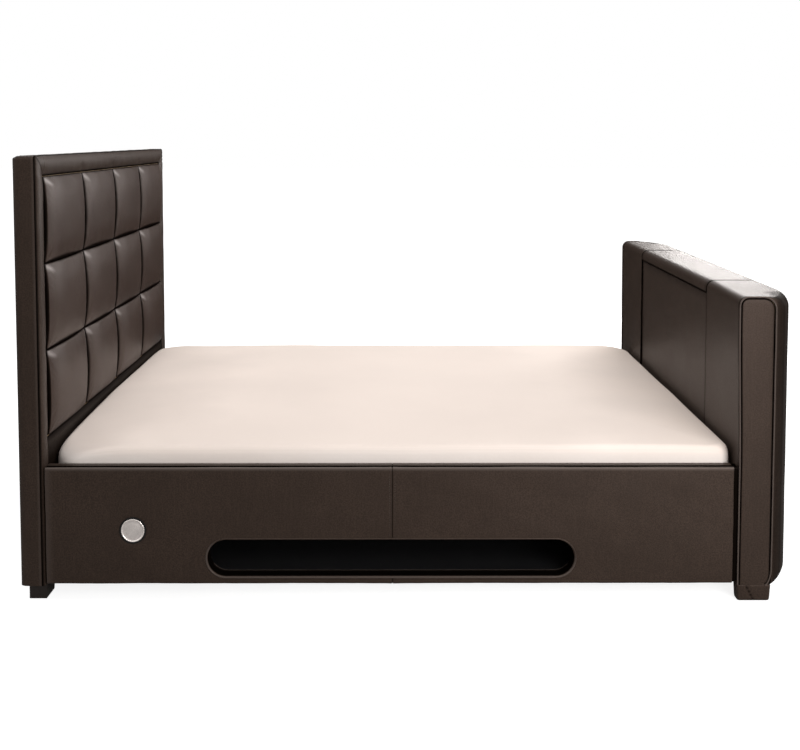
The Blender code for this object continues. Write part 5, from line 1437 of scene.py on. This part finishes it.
# (height out of the end's plane, inset from its outline) from the panel's rim to its middle
PANEL_SECTION = ((-0.0106, 0.0), (-0.0050, 0.0002), (-0.0032, 0.0006), (-0.0019, 0.0015),
                 (-0.0011, 0.0028), (-0.0006, 0.0050), (-0.0002, 0.0100), (0.0, 0.0180))
LID_EDGE = 0.0026
LID_ROUND = 0.0024
LID_REACH = LID_HIGH.y
COVER_ROUND = 0.003
COVER_TURN = 0.008
INNER_RECESS = 0.0048
BACKING_DEPTH = 0.0086
BACKING_REACH = LID_REACH + 0.010
# How far the inner face is stuffed out near each end, by the sign across the bed
END_LEAN = {-1: 0.0075, 1: 0.0015}
FOOT_SKIN = 0.0024


def corner_points(centre, radii, inset, start, end, steps, pull, power=1.0):
    """Points of a rounded corner moved inward, which stays a tight corner past its radius."""
    left_x, left_z = max(radii[0] - inset, TIGHT), max(radii[1] - inset, TIGHT)
    shift_x = max(inset - radii[0] + TIGHT, 0) * pull[0]
    shift_z = max(inset - radii[1] + TIGHT, 0) * pull[1]
    points = []
    for angle in np.radians(np.linspace(start, end, steps + 1)):
        across, up = (math.copysign(abs(share) ** power, share)
                      for share in (math.cos(angle), math.sin(angle)))
        points.append((centre[0] + left_x * across + shift_x, centre[1] + left_z * up + shift_z))
    return points


def arch(outer_x, depth, inset, low_z=FOOT_BOTTOM_Z, outer_round=OUTER_ROUND_END):
    """(x, z) points up the inner face, over the top and down the outer face to its tuck."""
    face = FOOT_FACE_X + inset
    inner_centre = (FOOT_FACE_X + INNER_ROUND, FOOT_TOP_Z - INNER_ROUND)
    outer_centre = (outer_x - outer_round, FOOT_TOP_Z - outer_round)
    tuck_centre = (outer_x - depth, FOOT_BOTTOM_Z + TUCK[1])
    points = [(face, low_z)] + line((face, low_z), (face, LID_LOW.z), 22)
    points += line((face, LID_LOW.z - 0.004), (face, LID_LOW.z + 0.004), 3)
    inner = corner_points(inner_centre, (INNER_ROUND, INNER_ROUND), inset, 180, 90, 9, (1, -1))
    outer = corner_points(outer_centre, (outer_round, outer_round), inset, 90, 0, 10, (-1, -1))
    tuck = corner_points(tuck_centre, (depth, TUCK[1]), inset, 0, -90, 9, (-1, 1), TUCK_POWER)
    points += inner + line(inner[-1], outer[0], 6) + outer
    points += line(outer[-1], tuck[0], 22) + tuck
    foot_x = tuck[-1][0] - TUCK_LIP
    return points + [(foot_x, tuck[-1][1]), (foot_x, low_z)]


def end_rings():
    """(y, share of the corner, tuck depth, inset) of the end cover, from its end to the lid."""
    start_y = SIDE_Y - CORNER_LENGTH
    rings = [(SIDE_Y - 0.0080, 0.0, END_TUCK, 0.0040), (SIDE_Y - 0.0040, 0.0, END_TUCK, 0.0036)]
    ys = [SIDE_Y - END_EDGE * share for share in (0.0, 0.06, 0.2, 0.45, 0.7, 1.0)]
    first_angle = math.asin(1 - 2 * END_EDGE / CORNER_LENGTH)
    ys += [start_y + CORNER_LENGTH * math.sin(angle)
           for angle in np.linspace(first_angle, 0, 14)]
    ys += list(spread(LID_REACH + 0.008, start_y - 0.012, 0.022)[::-1])
    for y in ys:
        left = max(0.0, END_EDGE - (SIDE_Y - y))
        inset = END_EDGE - math.sqrt(END_EDGE ** 2 - left ** 2)
        along = max(0.0, (y - start_y) / CORNER_LENGTH)
        share = math.sqrt(max(0.0, 1 - along ** 2))
        rings.append((y, share, END_TUCK + (TUCK[0] - END_TUCK) * share, inset))
    for distance, inset in rounded_end(LID_EDGE, 0.004)[::-1]:
        rings.append((LID_REACH + END_GAP + distance, 1.0, TUCK[0], inset))
    return rings


def lean_amount(x, y, z):
    """How far leather near the end is stuffed out at the top of the inner face."""
    share = (ease(np.abs(y), LID_REACH + 0.05, SIDE_Y - 0.02) * ease(z, 0.40, 0.86)
             * (1 - ease(x, FOOT_FACE_X + 0.02, FOOT_FACE_X + 0.085)))
    return np.where(y < 0, END_LEAN[-1], END_LEAN[1]) * share


def lean(grid):
    """Points of the footboard moved out where its inner face is stuffed fuller."""
    result = grid.copy()
    result[..., 0] -= lean_amount(grid[..., 0], grid[..., 1], grid[..., 2])
    return result


def footboard_relief(grid, inside, seed, amount=0.0005):
    """Soft unevenness of leather pulled over foam."""
    outward = outward_normals(grid, inside)
    flat = ease(grid[..., 2], FOOT_BOTTOM_Z + 0.01, FOOT_BOTTOM_Z + 0.05)
    lift = amount * (wander(grid, 0.14, seed) - 1.1) * flat
    return grid + outward * lift[..., None]


def footboard_seams_and_shade(points):
    """Painted shade: dark lines where the covers meet, and shade on the outer corners and top edge.
    """
    x, y, z = points[:, 0], np.abs(points[:, 1]), points[:, 2]
    x = x + lean_amount(x, points[:, 1], z)
    in_corner = ease(y, SIDE_Y - CORNER_LENGTH, SIDE_Y - 0.6 * CORNER_LENGTH)
    before_corner = 1 - ease(y, SIDE_Y - CORNER_LENGTH - 0.04, SIDE_Y - CORNER_LENGTH)
    # Painted shade in the gaps where the lid meets the covers and along its lip.
    lid_ends = 1.5 * dip(y - LID_REACH, 0.0046)
    lid_lips = 1.5 * dip(z - LID_LOW.z, 0.0042) * (y < LID_REACH + 0.001)
    # Painted shade in the groove round the end panel and on the rounded turn of the end.
    rim = 1.8 * dip(SIDE_Y - y, 0.0050) * dip(end_inset(x, z) - PANEL_INSET + 0.0004, 0.0032)
    turn = 0.75 * dip(SIDE_Y - y - 0.0105, 0.0065)
    # Painted shade on the outer corner and along the outer top edge.
    corner = 0.62 * ease(x - END_FRONT_X, -0.004, 0.006) * in_corner
    crest = np.hypot(x - FOOT_OUTER_X + 0.0120, z - FOOT_TOP_Z + 0.0015)
    crest = 0.80 * dip(crest, 0.0060) * before_corner
    return np.minimum(np.maximum.reduce([lid_ends, lid_lips, rim, turn, corner, crest]), 1)


def end_inset(x, z):
    """Distance inward from the outline of the arched end."""
    inset = np.minimum(np.minimum(x - FOOT_FACE_X, END_FRONT_X - x), FOOT_TOP_Z - z)
    for centre_x, radius, sign in ((FOOT_FACE_X + INNER_ROUND, INNER_ROUND, -1),
                                   (END_FRONT_X - OUTER_ROUND_END, OUTER_ROUND_END, 1)):
        centre_z = FOOT_TOP_Z - radius
        corner = (np.sign(x - centre_x) == sign) & (z > centre_z)
        inset = np.where(corner, radius - np.hypot(x - centre_x, z - centre_z), inset)
    return inset


def footboard_painted_light(points):
    """Painted light: a paler inner face and top."""
    inner = 0.14 * (1 - ease(points[:, 0] - FOOT_FACE_X, 0.002, 0.012))
    return np.maximum(inner, 0.12 * ease(points[:, 2] - FOOT_TOP_Z, -0.012, -0.002))


def inner_painted_light(points):
    """Painted light: a paler inner face of the middle cover, and a painted highlight along its top
    edge.
    """
    return 0.20 + 0.40 * dip(points[:, 2] - INNER_HIGH.z + 0.0060, 0.0030)


def footboard_skin(name, path, pairs, inside, seed):
    """Leather swept across the bed over a line of (x, z) points, softly uneven."""
    grid = sweep(np.array(path), pairs, lambda y, point: (point[0], y, point[1]))
    return shell(name, footboard_relief(grid, inside, seed, 0.0004), FOOT_SKIN, inside)


class BED_OT_footboard_ends(Operator):
    """Cover each end of the footboard: the wrapped corner, the arched panel and its piping"""
    bl_idname = "bed.footboard_ends"
    bl_label = "Footboard Ends"

    def execute(self, context):
        colours = context.scene.bed_colours
        material = leather("plain_leather", colours.leather)
        for side, label in SIDES:
            self.cover(side, label, material)
            self.panel(side, label, material)
            self.welt(side, label, context.scene.bed_sizes.welt_radius, material)
        return {"FINISHED"}

    def cover(self, side, label, material):
        """Wrapped cover from the end round the outer corner to the lid."""
        depth = FOOT_OUTER_X - END_FRONT_X
        rows = []
        for y, share, tuck, inset in end_rings():
            swell = ease(y, SIDE_Y - 0.18, SIDE_Y - 0.04)
            radius = OUTER_ROUND + (OUTER_ROUND_END - OUTER_ROUND) * swell
            rows.append([(x, side * y, z) for x, z in arch(END_FRONT_X + depth * share, tuck, inset,
                                                          outer_round=radius)])
        inside = ((FOOT_FACE_X + FOOT_OUTER_X) / 2, side * 0.6, 0.4)
        grid = footboard_relief(lean(np.array(rows)), inside, 41 + side)
        mesh = shell("end_cover", grid, FOOT_SKIN, inside)
        place_piece(f"footboard_corner_{label}", mesh, material,
                    stands_for=[f"footboard_end_cover_{label}"],
                    masks={"seam": footboard_seams_and_shade, "worn": footboard_painted_light}, sharp=50)

    def panel(self, side, label, material):
        """Arched panel, cushioned a little, with its edge rolled in against the piping."""
        grid = np.array([[(x, side * (SIDE_Y + rise), z)
                          for x, z in arch(END_FRONT_X, END_TUCK, PANEL_INSET + inset,
                                           FOOT_BOTTOM_Z + PANEL_DROP)]
                         for rise, inset in PANEL_SECTION])
        place_piece(f"footboard_arch_{label}", solid("arch", lean(grid)), material,
                    stands_for=[f"footboard_end_panel_{label}"],
                    masks={"seam": footboard_seams_and_shade}, sharp=60)

    def welt(self, side, label, radius, material):
        """Piping sewn into the seam round the arched panel."""
        path = np.array(arch(END_FRONT_X, END_TUCK, WELT_INSET, FOOT_BOTTOM_Z + 0.001)[:-2])
        y = SIDE_Y - radius * 0.75
        grid = np.array([[(point[0] + normal[0] * radius * math.cos(angle),
                           side * (y + radius * math.sin(angle)),
                           point[1] + normal[1] * radius * math.cos(angle))
                          for angle in round_angles(8)]
                         for point, normal in zip(path, path_normals(path))])
        # The whole welt is made paler: a painted highlight along the piping.
        place_piece(f"footboard_welt_{label}", solid("welt", lean(grid)), material,
                    masks={"worn": all_over(0.55)}, sharp=80)


class BED_OT_footboard_covers(Operator):
    """Cover the middle of the footboard, inside and outside, below the lid"""
    bl_idname = "bed.footboard_covers"
    bl_label = "Footboard Covers"

    def execute(self, context):
        material = leather("plain_leather", context.scene.bed_colours.leather)
        pairs = stations(INNER_LOW.y, INNER_HIGH.y, 0.025, LID_EDGE)
        self.inner(pairs, material)
        self.outer(pairs, material)
        self.backing(material)
        return {"FINISHED"}

    def backing(self, material):
        """Dark sheet behind the outer seams, so that no timber shows between the covers: painted
        shade.
        """
        zs = (FOOT_BOTTOM_Z + TUCK[1] + 0.01, LID_LOW.z + 0.003)
        mesh = upright_sheet("backing", FOOT_OUTER_X - BACKING_DEPTH,
                             (-BACKING_REACH, BACKING_REACH), zs, BACKING_THICKNESS)
        place_piece("footboard_backing", mesh, material,
                    masks={"seam": all_over(1.0)})

    def inner(self, pairs, material):
        """Flat cover of the inner face, set back from the end covers."""
        face, low, high = FOOT_FACE_X + INNER_RECESS, INNER_LOW.z, INNER_HIGH.z
        edge, turn = face + COVER_ROUND, face + COVER_TURN
        path = [(turn, low + 0.0004)] + bend((edge, low + COVER_ROUND), COVER_ROUND, 270, 180, 4)
        path += line((face, low + COVER_ROUND), (face, high - COVER_ROUND), 26)
        path += bend((edge, high - COVER_ROUND), COVER_ROUND, 180, 90, 5) + [(turn, high)]
        mesh = footboard_skin("inner", path, pairs, (face + 0.1, 0, 0.4), 47)
        place_piece("footboard_inner_leather", mesh, material,
                    stands_for=["footboard_inner_cover"],
                    masks={"seam": footboard_seams_and_shade, "worn": inner_painted_light}, sharp=50)

    def outer(self, pairs, material):
        """Cover of the outer face, tucked in at the foot."""
        face, high = FOOT_OUTER_X, OUTER_HIGH.z
        tuck = corner_points((face - TUCK[0], FOOT_BOTTOM_Z + TUCK[1]), TUCK, 0, 0, -90, 9,
                             (-1, 1), TUCK_POWER)
        path = [(face - COVER_TURN, high)]
        path += bend((face - COVER_ROUND, high - COVER_ROUND), COVER_ROUND, 90, 0, 5)
        path += line((face, high - COVER_ROUND), tuck[0], 24) + tuck
        path += [(tuck[-1][0] - TUCK_LIP, FOOT_BOTTOM_Z + 0.0002)]
        mesh = footboard_skin("outer", path, pairs, (face - 0.1, 0, 0.4), 53)
        place_piece("footboard_outer_leather", mesh, material,
                    stands_for=["footboard_outer_cover"],
                    masks={"seam": footboard_seams_and_shade}, sharp=50)


class BED_OT_lid(Operator):
    """Cover the lid over the television lift"""
    bl_idname = "bed.lid"
    bl_label = "Lift Lid"

    def execute(self, context):
        material = leather("plain_leather", context.scene.bed_colours.leather)
        face, back, low = FOOT_FACE_X, FOOT_OUTER_X, LID_LOW.z
        edge = low + LID_ROUND
        inner = corner_points((face + INNER_ROUND, FOOT_TOP_Z - INNER_ROUND),
                              (INNER_ROUND, INNER_ROUND), 0, 180, 90, 9, (1, -1))
        outer = corner_points((back - OUTER_ROUND, FOOT_TOP_Z - OUTER_ROUND),
                              (OUTER_ROUND, OUTER_ROUND), 0, 90, 0, 10, (-1, -1))
        path = [(face + 0.007, low + 0.0004)]
        path += bend((face + LID_ROUND, edge), LID_ROUND, 270, 180, 4)
        path += line((face, edge), inner[0], 2) + inner
        path += line(inner[-1], outer[0], 8) + outer + line(outer[-1], (back, edge), 2)
        path += bend((back - LID_ROUND, edge), LID_ROUND, 0, -90, 4) + [(back - 0.007, low)]
        pairs = stations(LID_LOW.y, LID_HIGH.y, 0.022, LID_EDGE)
        mesh = footboard_skin("lid", path, pairs, ((face + back) / 2, 0, low - 0.2), 59)
        place_piece("lid_leather", mesh, material,
                    body="lift_top", stands_for=["lid_cover"],
                    masks={"seam": footboard_seams_and_shade, "worn": footboard_painted_light}, sharp=50)
        return {"FINISHED"}


# The leather feet reach past their solids by half this at each end
FOOT_EXTRA = 0.005
FOOT_CORNER = 0.006
FOOT_TAPER = 0.0025
FOOT_SPACES = (14, 14, 14, 14)
# (height, inset) of the rounded lower edge of a foot
FOOT_BASE = ((0.0, 0.0075), (0.0006, 0.0050), (0.0022, 0.0033), (0.0050, 0.0026))
FOLD_STEP = 0.0011


def foot_fold(x, z, start):
    """Distance past the slanting fold of a foot's leather, as a share of its length."""
    share = (x - FOOT_LOW.x) / (FOOT_HIGH.x - FOOT_LOW.x + FOOT_EXTRA)
    return share - (start - 0.26 * z / FOOT_HIGH.z)


def foot_seams(points):
    """Dark line along the fold, on the outside of the foot."""
    fold = dip(foot_fold(points[:, 0], points[:, 2], 0.51), 0.018)
    return fold * (np.abs(points[:, 1]) > FOOT_HIGH.y - 0.004)


class BED_OT_feet(Operator):
    """Wrap the footboard's feet in leather, folded over on the outside"""
    bl_idname = "bed.feet"
    bl_label = "Leather Feet"

    def execute(self, context):
        material = leather("plain_leather", context.scene.bed_colours.leather)
        for side, label in SIDES:
            self.foot(side, label, material)
        return {"FINISHED"}

    def foot(self, side, label, material):
        """One foot: tapered, rounded at its corners and stepped along its fold."""
        middle = (FOOT_LOW + FOOT_HIGH) / 2 + Vector((FOOT_EXTRA / 2, 0, 0))
        half_x = (FOOT_HIGH.x - FOOT_LOW.x + FOOT_EXTRA) / 2
        half_y = (FOOT_HIGH.y - FOOT_LOW.y) / 2
        height = FOOT_HIGH.z
        levels = list(FOOT_BASE)
        levels += [(z, FOOT_TAPER * (1 - z / height))
                   for z in np.linspace(0.009, height - 0.003, 12)]
        levels += [(height - 0.001, 0.0006), (height, 0.0022)]
        rings = []
        for z, inset in levels:
            reach_x, reach_y = half_x - inset - FOOT_CORNER, half_y - inset - FOOT_CORNER
            corners = [bend((sign_x * reach_x, sign_y * reach_y), FOOT_CORNER, 90 * quarter,
                            90 * quarter + 90, 5)
                       for quarter, (sign_x, sign_y) in enumerate(QUARTERS)]
            rings.append([(middle.x + x, side * (middle.y + y), z)
                          for x, y in rounded_ring(corners, FOOT_SPACES)])
        grid = np.array(rings)
        fold = foot_fold(grid[..., 0], grid[..., 2], 0.52)
        face = ease(np.abs(grid[..., 1]), FOOT_HIGH.y - 0.004, FOOT_HIGH.y - 0.0005)
        step = FOLD_STEP * ease(fold, 0.0, 0.035) * (1 - ease(fold, 0.10, 0.35))
        grid[..., 1] += side * (step - 0.0007 * dip(fold, 0.02)) * face
        place_piece(f"footboard_foot_leather_{label}", solid("foot", grid), material,
                    stands_for=[f"footboard_foot_{label}"],
                    masks={"seam": foot_seams}, sharp=50)


# Finishes of the frame's own pieces

FINISHES = {
    "softwood": partial(timber, "planed_softwood", (0.50, 0.335, 0.18), 34.0),
    "plywood": partial(timber, "sanded_plywood", (0.46, 0.31, 0.165), 26.0, axis=1, rough=0.6,
                       plies=True),
    "beech": partial(timber, "laminated_beech", (0.54, 0.36, 0.20), 60.0, axis=1, rough=0.42),
    "black_board": partial(moulded, "black_faced_board", (0.010, 0.010, 0.011), 0.42),
    "black_plastic": partial(moulded, "black_plastic", (0.014, 0.010, 0.008)),
    "black_cloth": partial(dust_cloth, "dust_cloth", (0.010, 0.010, 0.010)),
    "black_steel": partial(metal, "black_powder_coat", (0.016, 0.016, 0.017), 0.46,
                           metallic=0.0),
    "zinc_steel": partial(metal, "zinc_plate", (0.56, 0.57, 0.59), 0.36, 0.2, speck=0.35),
    "aluminium": partial(metal, "drawn_aluminium", (0.66, 0.67, 0.68), 0.32, 0.6),
}


class BED_OT_frame_finishes(Operator):
    """Give the timber, steel and plastic of the frame their finishes"""
    bl_idname = "bed.frame_finishes"
    bl_label = "Frame Finishes"

    def execute(self, context):
        for part in frame["record"]["subparts"]:
            node = frame["nodes"][part["node"]]
            if node.hide_render:
                continue
            if part["material_slot"] not in FINISHES:
                raise RuntimeError(f"{node.name} has no finish for {part['material_slot']}")
            node.data.materials.clear()
            node.data.materials.append(FINISHES[part["material_slot"]]())
        return {"FINISHED"}


# Stage

# place, what it faces, size
LAMPS = {
    "overhead": ((-0.3, 0.4, 3.6), (0.0, 0.1, 0.5), (5.6, 3.4)),
    "behind": ((2.5, 3.7, 2.05), (-0.4, 0, 0.8), (2.0, 1.4)),
    "front": ((2.05, -3.85, 1.9), (0.15, 0, 0.4), (2.0, 2.0)),
    "low": ((1.15, -2.7, 0.55), (0.9, -0.8, 0.40), (0.9, 0.6)),
}
FLOOR_REACH = 40.0
# The card stands behind the bed, and the place and half size of its patch are (x, z)
CARD_Y = 2.2
CARD_REACH = 5.0
CARD_HEIGHTS = (0.002, 2.4)
CARD_THICKNESS = 0.01
PATCH_PLACE = (1.95, 1.30)
PATCH_SIZE = (0.50, 0.20)
CAMERA_PLACE = (-0.0304, -3.7724, 1.3812)
CAMERA_TURN = (math.radians(86.63), 0, -0.0024)
CAMERA_SHIFT = -0.2227
CAMERA_SENSOR = 36.0


class BED_OT_stage(Operator):
    """Set up the floor, the soft lights, the white surround and the camera"""
    bl_idname = "bed.stage"
    bl_label = "Stage"

    def execute(self, context):
        studio = context.scene.bed_studio
        self.floor()
        self.surround(context.scene, studio.surround)
        for name, (place, target, size) in LAMPS.items():
            self.lamp(name, place, target, size, getattr(studio, name))
        self.card(studio.glare)
        self.camera(context.scene, studio.lens)
        context.scene.view_settings.view_transform = "Standard"
        return {"FINISHED"}

    def floor(self):
        """Pale floor that looks white to the camera and keeps the bed's shadow."""
        mesh = bpy.data.meshes.new("floor")
        mesh.from_pydata([(x * FLOOR_REACH, y * FLOOR_REACH, 0) for x, y in QUARTERS], [],
                         [(0, 1, 2, 3)])
        floor = bpy.data.objects.new("floor", mesh)
        bpy.context.scene.collection.objects.link(floor)
        material = bpy.data.materials.new("pale_floor")
        f = Finish(material)
        far = f.between(f.length(f.place()), 1.5, 2.6)
        f.glow(f.mix(far, (0.84, 0.84, 0.84), (1, 1, 1)),
               f.node("ShaderNodeLightPath", output="Is Camera Ray"), (0.50, 0.50, 0.50))
        mesh.materials.append(material)

    def card(self, glare):
        """Dark card behind the bed with a bright soft patch, seen in the leather's shine alone."""
        grid = np.array([[(x, CARD_Y, z) for x in (-CARD_REACH, CARD_REACH)]
                         for z in CARD_HEIGHTS])
        card = bpy.data.objects.new("card", shell("card", grid, CARD_THICKNESS,
                                                  (0, CARD_Y + 1, 0.6)))
        bpy.context.scene.collection.objects.link(card)
        material = bpy.data.materials.new("dark_card")
        f = Finish(material)
        across = (f.axis("X") - PATCH_PLACE[0]) / PATCH_SIZE[0]
        up = (f.axis("Z") - PATCH_PLACE[1]) / PATCH_SIZE[1]
        patch = 1 - f.between(across * across + up * up, 0.3, 1.6)
        f.glow(f.mix(patch, (0, 0, 0), shade((1, 0.96, 0.93), glare)), 1.0,
               (0.060, 0.045, 0.036))
        card.data.materials.append(material)
        card.visible_camera = card.visible_diffuse = card.visible_shadow = False

    def surround(self, scene, strength):
        """World that lights the bed evenly and looks white to the camera and in reflections."""
        world = bpy.data.worlds.new("surround")
        scene.world = world
        f = Finish(world)
        camera = f.node("ShaderNodeLightPath", output="Is Camera Ray")
        glossy = f.node("ShaderNodeLightPath", output="Is Glossy Ray")
        through = f.node("ShaderNodeLightPath", output="Is Transmission Ray")
        white = f.number("MAXIMUM", f.number("MAXIMUM", camera, glossy), through)
        level = strength + white * (1 - strength)
        light = f.node("ShaderNodeBackground", None, {"Color": (1, 1, 1), "Strength": level})
        f.node("ShaderNodeOutputWorld", None, {"Surface": light}, output=None)

    def lamp(self, name, place, target, size, power):
        """Soft lamp that faces a point."""
        light = bpy.data.lights.new(name, "AREA")
        light.shape = "RECTANGLE"
        light.size, light.size_y = size
        light.energy = power
        lamp = bpy.data.objects.new(name, light)
        lamp.location = place
        lamp.rotation_euler = (Vector(target) - Vector(place)).to_track_quat("-Z", "Y").to_euler()
        lamp.visible_camera = False
        bpy.context.scene.collection.objects.link(lamp)

    def camera(self, scene, lens):
        """Camera that stands where the photograph was taken."""
        data = bpy.data.cameras.new("camera")
        data.sensor_width = CAMERA_SENSOR
        data.lens = lens
        data.shift_y = CAMERA_SHIFT
        camera = bpy.data.objects.new("camera", data)
        camera.location = CAMERA_PLACE
        camera.rotation_euler = CAMERA_TURN
        scene.collection.objects.link(camera)
        scene.camera = camera


OPERATORS = (BED_OT_pads, BED_OT_border, BED_OT_band, BED_OT_rails, BED_OT_disc,
             BED_OT_mattress, BED_OT_footboard_ends, BED_OT_footboard_covers, BED_OT_lid,
             BED_OT_feet, BED_OT_frame_finishes, BED_OT_stage)


class BED_PT_panel(Panel):
    """Builds the pieces of the bed one after another"""
    bl_label = "Television Bed"
    bl_idname = "BED_PT_panel"
    bl_space_type = "VIEW_3D"
    bl_region_type = "UI"
    bl_category = "Bed"

    def draw(self, context):
        scene = context.scene
        for group in (scene.bed_sizes, scene.bed_colours, scene.bed_studio):
            box = self.layout.box()
            for name in group.__annotations__:
                box.prop(group, name)
        for operator in OPERATORS:
            self.layout.operator(operator.bl_idname)


GROUPS = (BedSizes, BedColours, BedStudio)


def register():
    for item in GROUPS + OPERATORS + (BED_PT_panel,):
        bpy.utils.register_class(item)
    bpy.types.Scene.bed_sizes = PointerProperty(type=BedSizes)
    bpy.types.Scene.bed_colours = PointerProperty(type=BedColours)
    bpy.types.Scene.bed_studio = PointerProperty(type=BedStudio)


def unregister():
    del bpy.types.Scene.bed_studio
    del bpy.types.Scene.bed_colours
    del bpy.types.Scene.bed_sizes
    for item in reversed(GROUPS + OPERATORS + (BED_PT_panel,)):
        bpy.utils.unregister_class(item)


def main():
    register()
    for operator in OPERATORS:
        group, name = operator.bl_idname.split(".")
        getattr(getattr(bpy.ops, group), name)()


if __name__ == "__main__":
    main()
